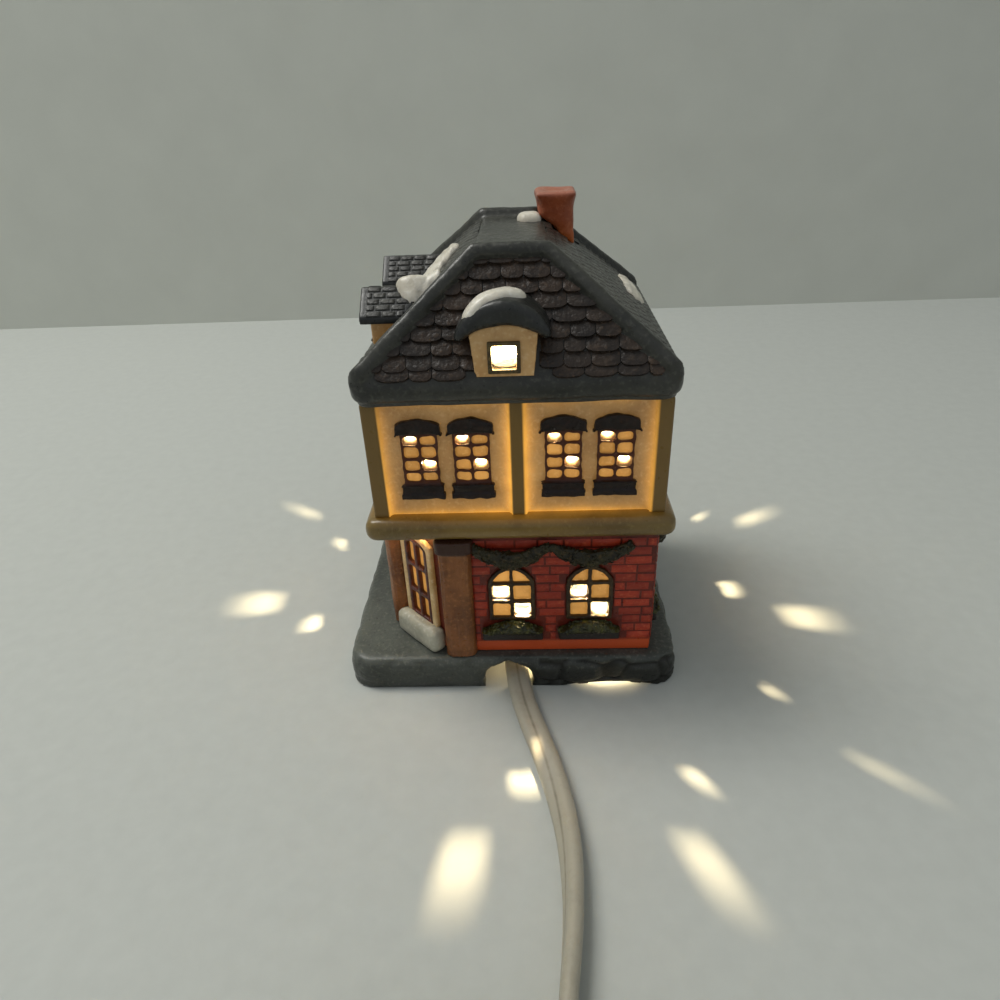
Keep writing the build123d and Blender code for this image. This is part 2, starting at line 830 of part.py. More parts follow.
# Roof courses: overlapping rows on the four slopes, cut round all that stands on them
def slope_corners(side):
    """The slope's lower and upper corners on its own plane, from left to right."""
    slope, length = slope_plane(side)
    corners = []
    for width, depth, middle_x, middle_y, level in (
        (eave_width, eave_depth, house_x, house_y, eave_top),
        (deck_width, deck_depth, deck_x, deck_y, deck_level),
    ):
        for sign_x in (-1, 1):
            for sign_y in (-1, 1):
                place = Vector(middle_x + sign_x * width / 2, middle_y + sign_y * depth / 2, level)
                corners.append(slope.to_local_coords(place))
    flat = sorted(corners, key=lambda corner: abs(corner.Z))[:4]
    low = sorted((corner for corner in flat if corner.Y < length / 2), key=lambda corner: corner.X)
    high = sorted((corner for corner in flat if corner.Y > length / 2), key=lambda corner: corner.X)
    return low, high


def slope_outline(side):
    """The slope's outline on its own plane."""
    low, high = slope_corners(side)
    with BuildSketch(slope_plane(side)[0]) as outline:
        with BuildLine():
            Polyline(*[(corner.X, corner.Y) for corner in low + high[::-1]], close=True)
        make_face()
    return outline.sketch


def course_profile(side, rows, step):
    """Saw teeth up the slope, drawn on a plane square to the eave at its left end."""
    slope, length = slope_plane(side)
    half = max(eave_width, eave_depth) / 2
    start = slope.from_local_coords((-half, 0, 0))
    teeth = [(0, 0)]
    for row in range(rows):
        teeth.append((row * length / rows, step))
        teeth.append(((row + 1) * length / rows, course_lap))
    teeth.append((length, 0))
    with BuildSketch(Plane(origin=start, x_dir=slope.y_dir, z_dir=slope.x_dir)) as profile:
        with BuildLine():
            Polyline(*teeth, close=True)
        make_face()
    return profile.sketch


def slate_notches(side):
    """Small notches between the slates along the lower edge of each row, clear of the hips."""
    slope, length = slope_plane(side)
    low, high = slope_corners(side)
    clear = slate_corner + 2 * hip_radius
    per_side = math.ceil(eave_width / slate_width / 2)
    with BuildSketch(slope.offset(course_lap)) as notches:
        for row in range(slate_rows):
            up = row / slate_rows
            left = low[0].X + up * (high[0].X - low[0].X) + clear
            right = low[1].X + up * (high[1].X - low[1].X) - clear
            for number in range(-per_side, per_side + 1):
                across = (number + (row % 2) / 2) * slate_width
                if left < across < right:
                    with BuildLine():
                        Polyline(
                            (across - slate_corner, up * length),
                            (across + slate_corner, up * length),
                            (across, up * length + slate_corner),
                            close=True,
                        )
                    make_face()
    return notches.sketch


for side, rows, step in (
    ("front", slate_rows, slate_thick),
    ("right", course_count, course_step),
    ("back", slate_rows, slate_thick),
    ("left", course_count, course_step),
):
    with BuildPart() as courses:
        extrude(course_profile(side, rows, step), amount=max(eave_width, eave_depth))
        extrude(slope_outline(side), amount=step + overrun, mode=Mode.INTERSECT)
        if rows == slate_rows:
            extrude(slate_notches(side), amount=step + overrun, mode=Mode.SUBTRACT)
        if side == "front":
            extrude(dormer_outline(), amount=-dormer_reach, mode=Mode.SUBTRACT)
            extrude(dormer_outline(), amount=overrun, mode=Mode.SUBTRACT)
            add(front_dormer_cap.part, mode=Mode.SUBTRACT)
            add(snow_dormer.part, mode=Mode.SUBTRACT)
        if side == "left":
            for along, shift, gable in zip(cheek_places, valley_snow_shifts, side_dormers):
                extrude(cheek_outline(along), amount=-dormer_reach, mode=Mode.SUBTRACT)
                add(gable, mode=Mode.SUBTRACT)
                extrude(valley_snow(along, shift), amount=snow_thick, mode=Mode.SUBTRACT)
        if side == "right":
            extrude(edge_snow(), amount=snow_thick, mode=Mode.SUBTRACT)
            add(chimney.part, mode=Mode.SUBTRACT)
        add(hip_room, mode=Mode.SUBTRACT)
    save(courses, f"{side}_shingles")

# Snow on the deck by the chimney, behind the side dormers and by the right eave
with BuildPart() as snow_chimney:
    with BuildSketch(Plane((deck_snow_x, deck_snow_y, deck_level))):
        Ellipse(deck_snow_width / 2, deck_snow_depth / 2)
    extrude(amount=snow_thick)
    add(chimney.part, mode=Mode.SUBTRACT)
save(snow_chimney, "snow_chimney")

with BuildPart() as snow_valleys:
    for along, shift, gable in zip(cheek_places, valley_snow_shifts, side_dormers):
        extrude(valley_snow(along, shift), amount=snow_thick)
        extrude(cheek_outline(along), amount=-dormer_reach, mode=Mode.SUBTRACT)
        add(gable, mode=Mode.SUBTRACT)
    add(hip_room, mode=Mode.SUBTRACT)
save(snow_valleys, "snow_valleys")

with BuildPart() as snow_right:
    extrude(edge_snow(), amount=snow_thick)
save(snow_right, "snow_right")

# Lamp: socket with its cord boss, screwed liner, contact and the spring clip round it
liner_inner = cap_radius + thread_gap
liner_outer = liner_inner + thread_wall
entry = Vector(cord_route[0][0] - lamp_x, cord_route[0][1] - lamp_y, 0).normalized()
entry_turn = math.degrees(math.atan2(entry.Y, entry.X))


def lamp_plane(level):
    return Plane((lamp_x, lamp_y, level))


with BuildPart() as socket_shell:
    extrude(disc(lamp_plane(0), socket_radius), amount=socket_height)
    boss_direction = Plane((lamp_x, lamp_y, 0)).rotated((0, 0, entry_turn))
    with BuildSketch(boss_direction):
        with Locations((boss_reach / 2, 0)):
            Rectangle(boss_reach, boss_width)
    extrude(amount=boss_height)
    extrude(disc(lamp_plane(socket_floor), liner_outer), amount=socket_height, mode=Mode.SUBTRACT)
save(socket_shell, "socket_shell")

with BuildPart() as socket_thread:
    extrude(disc(lamp_plane(socket_floor), liner_outer), amount=thread_height)
    extrude(disc(lamp_plane(socket_floor), liner_inner), amount=thread_height, mode=Mode.SUBTRACT)
save(socket_thread, "socket_thread")

with BuildPart() as socket_contact:
    extrude(disc(lamp_plane(socket_floor), contact_radius), amount=contact_height)
save(socket_contact, "socket_contact")

with BuildPart() as spring_clip:
    extrude(disc(lamp_plane(clip_level), socket_radius + clip_thick), amount=clip_height)
    for sign in (-1, 1):
        clip_side = Plane((lamp_x, lamp_y, 0), x_dir=(sign, 0, 0), z_dir=(0, -sign, 0))
        leg_radius = lamp_hole_radius - clip_gap - clip_thick / 2
        with BuildSketch(clip_side):
            with BuildLine():
                Polyline(
                    (socket_radius + clip_thick / 2, clip_level + clip_height / 2),
                    (leg_radius, base_height),
                    (leg_radius, base_height - floor_thick),
                    (leg_radius - clip_foot_in, base_height - floor_thick - clip_foot_drop),
                )
            trace(line_width=clip_thick)
        extrude(amount=clip_width / 2, both=True)
    extrude(disc(lamp_plane(0), socket_radius), amount=socket_height, mode=Mode.SUBTRACT)
save(spring_clip, "spring_clip")

# Bulb: foot contact and insulator, threaded cap, glass, stem with leads, filament
contact_bottom = socket_floor + contact_height + bulb_seat
insulator_bottom = contact_bottom + bulb_contact_height
cap_bottom = insulator_bottom + insulator_height
glass_bottom = cap_bottom + cap_height - neck_lap
stem_bottom = cap_bottom + cap_wall
thread_root = cap_radius - thread_depth
bulb_side = Plane((lamp_x, lamp_y, 0), x_dir=(1, 0, 0), z_dir=(0, -1, 0))
bulb_axis = Axis((lamp_x, lamp_y, 0), (0, 0, 1))

with BuildPart() as bulb_contact:
    extrude(disc(lamp_plane(contact_bottom), bulb_contact_radius), amount=bulb_contact_height)
save(bulb_contact, "bulb_contact")

with BuildPart() as bulb_insulator:
    extrude(disc(lamp_plane(insulator_bottom), insulator_radius), amount=insulator_height)
save(bulb_insulator, "bulb_insulator")

with BuildPart() as bulb_cap:
    waves = [(0, cap_bottom), (thread_root, cap_bottom)]
    for turn in range(thread_turns):
        waves.append((thread_root, cap_bottom + (turn + 0.25) * thread_pitch))
        waves.append((cap_radius, cap_bottom + (turn + 0.75) * thread_pitch))
    waves.append((thread_root, cap_bottom + (thread_turns + 0.25) * thread_pitch))
    waves.append((thread_root, cap_bottom + cap_height))
    waves.append((thread_root - cap_wall, cap_bottom + cap_height))
    waves.append((thread_root - cap_wall, stem_bottom))
    waves.append((0, stem_bottom))
    with BuildSketch(bulb_side):
        with BuildLine():
            Polyline(*waves, close=True)
        make_face()
    revolve(axis=bulb_axis)
save(bulb_cap, "bulb_cap")


def glass_profile(inset):
    """Half of the bulb's outline, open to its axis, thinner by the inset."""
    with BuildSketch(bulb_side) as half:
        with BuildLine():
            Line((0, glass_bottom), (neck_radius - inset, glass_bottom))
            Line((neck_radius - inset, glass_bottom), (neck_radius - inset, glass_bottom + neck_lap))
            TangentArc(
                (globe_radius - inset, glass_bottom + globe_level),
                (neck_radius - inset, glass_bottom + neck_lap),
                tangent=(0, -1),
            )
            TangentArc(
                (globe_radius - inset, glass_bottom + globe_level),
                (tip_radius - inset, glass_bottom + globe_length - tip_height),
                tangent=(0, 1),
            )
            TangentArc(
                (0, glass_bottom + globe_length - inset),
                (tip_radius - inset, glass_bottom + globe_length - tip_height),
                tangent=(1, 0),
            )
            Line((0, glass_bottom + globe_length - inset), (0, glass_bottom))
        make_face()
    return half.sketch


with BuildPart() as bulb_glass:
    revolve(glass_profile(0), axis=bulb_axis)
    revolve(glass_profile(glass_wall), axis=bulb_axis, mode=Mode.SUBTRACT)
save(bulb_glass, "bulb_glass")

lead_ends = []
with BuildPart() as bulb_stem:
    extrude(disc(lamp_plane(stem_bottom), stem_radius), amount=stem_height)
    for sign in (-1, 1):
        root = Vector(lamp_x + sign * lead_root, lamp_y, stem_bottom + stem_height)
        head = Vector(lamp_x + sign * lead_spread, lamp_y, stem_bottom + stem_height + lead_height)
        extrude(disc(Plane(root, z_dir=head - root), lead_radius), amount=(head - root).length)
        lead_ends.append(head)
save(bulb_stem, "bulb_stem")

with BuildPart() as bulb_filament:
    with BuildLine():
        filament_top = (lamp_x, lamp_y, lead_ends[0].Z + filament_rise)
        wire = ThreePointArc(lead_ends[0], filament_top, lead_ends[1])
    with BuildSketch(Plane(origin=wire @ 0, z_dir=wire % 0)):
        Circle(lead_radius)
    sweep(path=wire)
    add(bulb_stem.part, mode=Mode.SUBTRACT)
save(bulb_filament, "bulb_filament")

# Cord: from the boss over the floor into a round coil, out of it again to the plug
coil_axis = Vector(math.cos(math.radians(coil_turn)), math.sin(math.radians(coil_turn)), 0)
coil_side = Vector(-coil_axis.Y, coil_axis.X, 0)
coil_step = cord_pitch / 2
coil_start = Vector(coil_x, coil_y, coil_level) + coil_axis * coil_radius


def corner_radii(points):
    """Each corner's radius, so that its arc takes a set share of the shorter run."""
    radii = []
    for before, corner, after in zip(points, points[1:], points[2:]):
        into = corner - before
        out = after - corner
        turn = math.radians(into.get_angle(out))
        radii.append(corner_share * min(into.length, out.length) / math.tan(turn / 2))
    return radii


def cord_tube(points, name):
    """A tube on straight runs and tangent arcs, with its radii and volume printed."""
    radii = corner_radii(points)
    with BuildPart() as tube:
        with BuildLine():
            route = FilletPolyline(*points, radius=radii)
        with BuildSketch(Plane(origin=route @ 0, z_dir=route % 0)):
            Circle(cord_radius)
        sweep(path=route)
    share = tube.part.volume / (math.pi * cord_radius ** 2 * route.length)
    print(name, "radii", [round(radius, 1) for radius in radii])
    print(name, "length", round(route.length, 1), "volume against section times length", round(share, 4))
    return tube


lead_points = [Vector(lamp_x, lamp_y, cord_level) + entry * boss_reach]
lead_points += [Vector(x, y, cord_level) for x, y in cord_route]
lead_points.append(coil_start + coil_side * lead_straight)
lead_points.append(coil_start)
cord_lead = cord_tube(lead_points, "cord_lead")
save(cord_lead, "cord_lead")

with BuildPart() as cord_coil:
    coil_points = []
    with BuildLine() as coil_line:
        here = coil_start
        for number, offset in enumerate(coil_offsets):
            bend = coil_radius - offset * coil_step
            inward = coil_axis * (-1 if number % 2 == 0 else 1)
            ahead = coil_side * (-1 if number % 2 == 0 else 1)
            climb = cord_pitch if number in coil_climbs else 0
            tilt = math.atan2(climb, 2 * bend)
            arc_radius = bend / math.cos(tilt)
            half_way = math.sin(math.radians(45))
            slant = inward * math.cos(tilt) + Vector(0, 0, math.sin(tilt))
            top = here + (ahead + slant) * arc_radius
            there = here + slant * (2 * arc_radius)
            first = here + ahead * (half_way * arc_radius) + slant * ((1 - half_way) * arc_radius)
            second = there + ahead * (half_way * arc_radius) - slant * ((1 - half_way) * arc_radius)
            quarters = (ThreePointArc(here, first, top), ThreePointArc(top, second, there))
            for quarter in quarters:
                count = math.ceil(quarter.length / cord_radius)
                coil_points += [quarter @ (step / count) for step in range(count)]
            here = there
    coil_end = here
    coil_wire = coil_line.wire()
    with BuildSketch(Plane(origin=coil_wire @ 0, z_dir=coil_wire % 0)):
        Circle(cord_radius)
    sweep(path=coil_wire)
save(cord_coil, "cord_coil")

apart = math.ceil(math.pi * cord_pitch / cord_radius)
nearest = min(
    (one - other).length
    for number, one in enumerate(coil_points)
    for other in coil_points[number + 2 * apart:]
)
coil_share = cord_coil.part.volume / (math.pi * cord_radius ** 2 * coil_wire.length)
print("cord_coil length", round(coil_wire.length, 1), "least gap", round(nearest - cord_width, 3))
print("cord_coil volume against section times length", round(coil_share, 4))

plug_level = plug_thick / 2
tail_points = [coil_end, coil_end - coil_side * tail_straight]
tail_points += [Vector(*place) for place in tail_route]
tail_points.append(Vector(plug_x, plug_y, plug_level))
cord_tail = cord_tube(tail_points, "cord_tail")
save(cord_tail, "cord_tail")

# Tie round the coil's far side, and the plug
with BuildPart() as cord_tie:
    bundle_width = 3 * cord_pitch + cord_width + 2 * tie_clear
    bundle_height = 3 * cord_pitch + cord_width + 2 * tie_clear
    bundle_out = 2 * coil_radius - 3 * coil_step
    bundle_middle = coil_start - coil_axis * bundle_out + Vector(0, 0, 3 * coil_step)
    with BuildSketch(Plane(bundle_middle, x_dir=coil_axis, z_dir=-coil_side)):
        RectangleRounded(bundle_width + 2 * tie_thick, bundle_height + 2 * tie_thick, cord_radius)
        RectangleRounded(bundle_width, bundle_height, cord_radius - tie_thick, mode=Mode.SUBTRACT)
    extrude(amount=tie_width / 2, both=True)
save(cord_tie, "cord_tie")

plug_rear = Plane((plug_x, plug_y, plug_level), x_dir=(0, -1, 0), z_dir=(-1, 0, 0))
with BuildPart() as plug_body:
    with BuildSketch(plug_rear):
        RectangleRounded(plug_nose, plug_thick, plug_round)
    with BuildSketch(plug_rear.offset(plug_nose_share * plug_length)):
        RectangleRounded(plug_width, plug_thick, plug_round)
    loft(ruled=True)
    with BuildSketch(plug_rear.offset(plug_nose_share * plug_length)):
        RectangleRounded(plug_width, plug_thick, plug_round)
    extrude(amount=(1 - plug_nose_share) * plug_length)
save(plug_body, "plug_body")

with BuildPart() as plug_blades:
    with BuildSketch(plug_rear.offset(plug_length)):
        with Locations((-blade_pitch / 2, 0), (blade_pitch / 2, 0)):
            Rectangle(blade_thick, blade_width)
    extrude(amount=blade_length)
save(plug_blades, "plug_blades")
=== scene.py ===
import math
import random
from functools import partial

import bmesh
import bpy
import numpy as np
from mathutils import Matrix, Vector, noise
from mathutils.bvhtree import BVHTree


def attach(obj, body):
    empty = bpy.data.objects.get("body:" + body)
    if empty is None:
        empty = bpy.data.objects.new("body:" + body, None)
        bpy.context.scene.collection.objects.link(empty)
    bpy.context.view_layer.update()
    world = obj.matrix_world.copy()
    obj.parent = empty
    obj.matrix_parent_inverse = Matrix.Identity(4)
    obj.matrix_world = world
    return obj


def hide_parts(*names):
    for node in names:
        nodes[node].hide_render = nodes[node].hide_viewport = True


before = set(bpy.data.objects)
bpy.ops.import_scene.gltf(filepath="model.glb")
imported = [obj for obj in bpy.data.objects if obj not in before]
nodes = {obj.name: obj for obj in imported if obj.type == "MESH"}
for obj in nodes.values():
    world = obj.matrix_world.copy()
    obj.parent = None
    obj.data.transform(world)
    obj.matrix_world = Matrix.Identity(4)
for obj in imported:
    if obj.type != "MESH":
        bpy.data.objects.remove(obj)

scene = bpy.context.scene
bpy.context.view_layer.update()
MM = 0.001


# The table and the wall behind it: a pale paper sheet with a grey painted wall,
# under one broad soft lamp from the upper left and an even sky.
def tint(red, green, blue):
    """A colour as it looks on a screen, turned to the linear one that shaders take."""
    linear = [((c / 255 + 0.055) / 1.055) ** 2.4 if c > 10 else c / 255 / 12.92 for c in (red, green, blue)]
    return (*linear, 1.0)


def feed(tree, node, inputs):
    """Sets a node's inputs, or links them where a socket is given."""
    for key, value in inputs.items():
        if isinstance(value, bpy.types.NodeSocket):
            tree.links.new(value, node.inputs[key])
        else:
            node.inputs[key].default_value = value
    return node


def add_node(tree, kind, inputs=None, **settings):
    node = tree.nodes.new(kind)
    for key, value in settings.items():
        setattr(node, key, value)
    return feed(tree, node, inputs or {})


def grain(tree, place, scale, detail=2.0, rough=0.5):
    """A cloudy value from 0 to 1."""
    inputs = {"Vector": place, "Scale": scale, "Detail": detail, "Roughness": rough}
    return add_node(tree, "ShaderNodeTexNoise", inputs).outputs["Fac"]


def blend(tree, share, first, second):
    """A colour that lies between two others."""
    mix = add_node(tree, "ShaderNodeMix", {"Factor": share, "A": first, "B": second}, data_type="RGBA")
    return mix.outputs["Result"]


def works(material):
    """A material's node tree, its shader and the place on the piece."""
    tree = material.node_tree
    return tree, tree.nodes["Principled BSDF"], tree.nodes["Texture Coordinate"].outputs["Object"]


def new_material(name):
    material = bpy.data.materials.new(name)
    material.use_nodes = True
    material.node_tree.nodes.new("ShaderNodeTexCoord")
    return material, *works(material)


def plain_surface(name, colour, scale):
    material, tree, shader, place = new_material(name)
    dark, pale = ([min(1, c * share) for c in colour[:3]] + [1] for share in (0.93, 1.05))
    feed(tree, shader, {"Base Color": blend(tree, grain(tree, place, scale, 4.0), dark, pale), "Roughness": 0.7})
    return material


def add_object(name, data):
    piece = bpy.data.objects.new(name, data)
    scene.collection.objects.link(piece)
    return piece


def mesh_piece(name, points, faces):
    mesh = bpy.data.meshes.new(name)
    mesh.from_pydata([tuple(point) for point in points], [], faces)
    mesh.validate()
    return add_object(name, mesh)


stage_half, wall_foot, floor_drop = 3.0, 0.1, 0.00002
wall_place = 262 * MM
corners = ((-1, -1), (1, -1), (1, 1), (-1, 1))
floor = mesh_piece("floor", [(x * stage_half, y * stage_half, -floor_drop) for x, y in corners], [(0, 1, 2, 3)])
floor.data.materials.append(plain_surface("paper", tint(188, 191, 185), 260.0))
backdrop = mesh_piece(
    "backdrop", [(x * stage_half, wall_place, stage_half if y > 0 else -wall_foot) for x, y in corners],
    [(0, 1, 2, 3)],
)
backdrop.data.materials.append(plain_surface("painted_wall", tint(202, 204, 194), 40.0))

camera_place = (0.00454, -0.15473, 0.12049)
yaw, pitch, roll = (math.radians(angle) for angle in (2.64, 30.6, -2.59))
camera = add_object("camera", bpy.data.cameras.new("camera"))
camera.data.lens = 25.99
camera.data.sensor_width = 36.0
camera.data.clip_start = 0.01
turned = Matrix.Rotation(yaw, 4, "Z") @ Matrix.Rotation(math.pi / 2 - pitch, 4, "X") @ Matrix.Rotation(roll, 4, "Z")
camera.matrix_world = Matrix.Translation(camera_place) @ turned
scene.camera = camera

scene.view_settings.view_transform = "Standard"
scene.world = bpy.data.worlds.new("sky")
scene.world.use_nodes = True
sky = scene.world.node_tree
feed(sky, sky.nodes["Background"], {"Color": (0.90, 0.95, 1.0, 1), "Strength": 0.40})


def add_lamp(name, kind, place, power, colour):
    lamp = add_object(name, bpy.data.lights.new(name, kind))
    lamp.data.energy, lamp.data.color = power, colour
    lamp.location = place
    return lamp


soft_box = add_lamp("soft_box", "AREA", (-0.44, 0.20, 0.90), 8.8, (1.0, 0.99, 0.95))
soft_box.data.size = 0.5
soft_box_aim = Vector((0, 0, 0.04))
soft_box.rotation_euler = (soft_box_aim - soft_box.location).to_track_quat("-Z", "Y").to_euler()


# The bulb's light: a small clear lamp inside the house, warm, which shows through the
# pierced panes and throws patches of light on the table. A little of it comes back off the
# table under the hollow base and shows below the front rim.
bulb_place = Vector((2.6, -0.5, 39.2)) * MM
under_place = Vector((21.0, -22.0, 3.0)) * MM
for name, place, power in (("bulb_light", bulb_place, 1.1), ("under_light", under_place, 0.06)):
    add_lamp(name, "POINT", place, power, (1.0, 0.80, 0.50)).data.shadow_soft_size = 1.3 * MM


# The cord: an ivory two-wire flex, flat with a groove between its wires. It leaves the
# socket under the notch, lies over the table, turns on edge and is wound up for storage.
def field(tree, operation, *values):
    """One sum on values that vary from point to point."""
    return add_node(tree, "ShaderNodeMath", dict(enumerate(values)), operation=operation).outputs[0]


def ramp(tree, value, low, high, first=0.0, last=1.0):
    """A value carried over from one range to another."""
    inputs = {"Value": value, 1: low, 2: high, 3: first, 4: last}
    return add_node(tree, "ShaderNodeMapRange", inputs).outputs[0]


def dent(tree, shader, height, strength, depth):
    """Dents in the surface, over those that are there."""
    bump = add_node(tree, "ShaderNodeBump", {"Height": height, "Strength": strength, "Distance": depth})
    for link in shader.inputs["Normal"].links:
        tree.links.new(link.from_socket, bump.inputs["Normal"])
    tree.links.new(bump.outputs[0], shader.inputs["Normal"])


def ring_faces(start, count):
    """The faces between a ring of points and the one that follows it."""
    others = [(step + 1) % count for step in range(count)]
    return [(start + step, start + other, start + count + other, start + count + step)
            for step, other in enumerate(others)]


wire_radius, wire_apart = 1.42 * MM, 1.18 * MM
coil_middle = Vector((-14.0, -146.0, 0.0)) * MM
coil_radius, coil_level, cord_pitch = 32.0 * MM, 3.7 * MM, 5.75 * MM
coil_turn = math.radians(25.0)
coil_offsets = (0, 1, 2, 3, 4, 3, 2, 1, 0, -1, 0, 1, 2, 3, 4, 3, 2, 1)
coil_climbs = (4, 9, 14)
coil_axis = Vector((math.cos(coil_turn), math.sin(coil_turn), 0))
coil_side = Vector((-math.sin(coil_turn), math.cos(coil_turn), 0))
coil_end = 22.0 * MM
lead = ((1.27, -12.43, 2.75), (-0.9, -32.0, 2.2), (9.6, -64.0, 2.1), (11.2, -86.0, 2.7), (6.55, -114.35, 3.7))
tail = ((28.0, -178.0, 10.0), (10.0, -196.0, 6.5), (-15.0, -196.0, 6.5))

route = [Vector(point) * MM for point in lead]
here = coil_middle + coil_axis * coil_radius + Vector((0, 0, coil_level))
steps = 8
reach = 1 / math.cos(math.pi / steps / 2)
for number, offset in enumerate(coil_offsets):
    bend = coil_radius - offset * cord_pitch / 2
    sign = -1 if number % 2 == 0 else 1
    climb = cord_pitch if number in coil_climbs else 0.0
    middle = here + coil_axis * (sign * bend)
    for step in range(steps):
        turn = (step + 0.5) * math.pi / steps
        place = middle - coil_axis * (sign * bend * reach * math.cos(turn))
        place += coil_side * (sign * bend * reach * math.sin(turn))
        route.append(place + Vector((0, 0, climb * (1 - math.cos(turn)) / 2)))
    here = middle + coil_axis * (sign * bend) + Vector((0, 0, climb))
route.append(here - coil_side * coil_end)
route += [Vector(point) * MM for point in tail]

route_data = bpy.data.curves.new("cord_route", "CURVE")
route_data.dimensions = "3D"
spline = route_data.splines.new("NURBS")
spline.points.add(len(route) - 1)
for point, place in zip(spline.points, route):
    point.co = (*place, 1.0)
spline.order_u = 3
spline.use_endpoint_u = True
route_data.resolution_u = 6
route_object = add_object("cord_route", route_data)
bpy.context.view_layer.update()
line = [vertex.co.copy() for vertex in bpy.data.meshes.new_from_object(route_object).vertices]
bpy.data.objects.remove(route_object)

section = []
for side in (1, -1):
    for step in range(9):
        turn = math.radians(-112 + 224 * step / 8)
        section.append((side * (wire_apart + wire_radius * math.cos(turn)), side * wire_radius * math.sin(turn)))
count = len(section)
turn_start, turn_length, edge_turn = 24 * MM, 70 * MM, math.radians(88)
run = 0.0
points, faces, cord_places = [], [], []
for number, place in enumerate(line):
    before, after = line[max(number - 1, 0)], line[min(number + 1, len(line) - 1)]
    if number:
        run += (place - line[number - 1]).length
    heading = (after - before).normalized()
    level = heading.cross(Vector((0, 0, 1))).normalized()
    rise = level.cross(heading).normalized()
    share = min(max((run - turn_start) / turn_length, 0.0), 1.0)
    edge_on = -edge_turn * share * share * (3 - 2 * share)
    wide = level * math.cos(edge_on) + rise * math.sin(edge_on)
    thick = wide.cross(heading)
    for x, y in section:
        points.append(place + wide * x + thick * y)
        cord_places.append((x / (wire_apart + wire_radius), run / MM, 0.0))
    if number:
        faces += ring_faces((number - 1) * count, count)
faces.append(tuple(reversed(range(count))))
faces.append(tuple(range(len(points) - count, len(points))))
cord = mesh_piece("cord", points, faces)
scratch = bmesh.new()
scratch.from_mesh(cord.data)
bmesh.ops.recalc_face_normals(scratch, faces=scratch.faces)
scratch.to_mesh(cord.data)
scratch.free()
cord.data.shade_smooth()
place_layer = cord.data.attributes.new("cord_place", "FLOAT_VECTOR", "POINT")
place_layer.data.foreach_set("vector", np.array(cord_places).ravel())

cord_finish, tree, shader, place = new_material("ivory_flex")
spot = add_node(tree, "ShaderNodeAttribute", attribute_name="cord_place")
across = add_node(tree, "ShaderNodeSeparateXYZ", {"Vector": spot.outputs["Vector"]}).outputs["X"]
groove = ramp(tree, field(tree, "ABSOLUTE", across), 0.02, 0.16, 1.0, 0.0)
# A cloudy value that darkens the flex in patches, most of all in the groove between the wires.
darkening = grain(tree, place, 420.0, 5.0, 0.62)
body = blend(tree, ramp(tree, darkening, 0.50, 0.72, 0.0, 0.30), tint(166, 160, 143), tint(132, 125, 106))
feed(tree, shader, {
    "Base Color": blend(tree, field(tree, "MULTIPLY", groove, darkening), body, tint(96, 86, 66)),
    "Roughness": 0.42, "Subsurface Weight": 0.08, "Subsurface Radius": (0.002, 0.0015, 0.001),
})
dent(tree, shader, darkening, 0.16, 0.0004)
cord.data.materials.append(cord_finish)
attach(cord, "lamp")
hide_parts("cord_lead", "cord_coil", "cord_tail")


# The lamp: an ivory moulded socket with a brass liner and a bottom contact, sprung into
# the base by a bent steel clip. It stands on the table and the house is lowered over it.
def noisy_finish(name, first, second, scale, low, high, metal=0.0, stretch=(1, 1, 1)):
    """A finish whose colour drifts between two tones and whose gloss drifts with it."""
    material, tree, shader, place = new_material(name)
    pull = add_node(tree, "ShaderNodeMapping", {"Vector": place, "Scale": stretch})
    drift = grain(tree, pull.outputs[0], scale, 5.0)
    feed(tree, shader, {
        "Base Color": blend(tree, ramp(tree, drift, 0.35, 0.68), tint(*first), tint(*second)),
        "Roughness": ramp(tree, drift, 0.3, 0.7, low, high), "Metallic": metal,
    })
    dent(tree, shader, drift, 0.1, 0.0003)
    return material


def finish_node(material, *names):
    for name in names:
        for slot in nodes[name].material_slots:
            slot.material = material


brass = noisy_finish("brass", (196, 160, 86), (142, 106, 52), 500.0, 0.22, 0.45, metal=1.0)
steel = noisy_finish("spring_steel", (178, 180, 182), (130, 132, 134), 900.0, 0.25, 0.42, metal=1.0,
                     stretch=(1, 1, 0.1))
socket_ivory = noisy_finish("moulded_socket", (214, 208, 192), (192, 184, 164), 320.0, 0.42, 0.6)
finish_node(socket_ivory, "socket_shell")
finish_node(brass, "socket_thread", "socket_contact", "bulb_contact", "bulb_cap", "plug_blades")
finish_node(steel, "spring_clip")


# The bulb: a clear blown-glass lamp on a brass screw cap, with a black insulating button,
# a pinched glass stem and a glowing wire. It screws into the socket.
bulb_clear, tree, shader, place = new_material("clear_glass")
feed(tree, shader, {
    "Base Color": (1.0, 0.97, 0.92, 1), "Transmission Weight": 1.0, "IOR": 1.46,
    "Roughness": ramp(tree, grain(tree, place, 260.0, 3.0), 0.4, 0.7, 0.02, 0.10),
})
rays = add_node(tree, "ShaderNodeLightPath")
clear = add_node(tree, "ShaderNodeBsdfTransparent")
passing = add_node(tree, "ShaderNodeMixShader", {
    0: rays.outputs["Is Shadow Ray"], 1: shader.outputs[0], 2: clear.outputs[0]})
tree.links.new(passing.outputs[0], tree.nodes["Material Output"].inputs["Surface"])
finish_node(bulb_clear, "bulb_glass", "bulb_stem")
finish_node(noisy_finish("black_insulator", (26, 25, 26), (44, 42, 42), 600.0, 0.2, 0.4), "bulb_insulator")

hot_wire, tree, shader, place = new_material("hot_wire")
feed(tree, shader, {
    "Base Color": (0.9, 0.6, 0.3, 1), "Emission Strength": 30.0,
    "Emission Color": blend(tree, grain(tree, place, 700.0), (1.0, 0.62, 0.25, 1), (1.0, 0.82, 0.50, 1)),
})
finish_node(hot_wire, "bulb_filament")


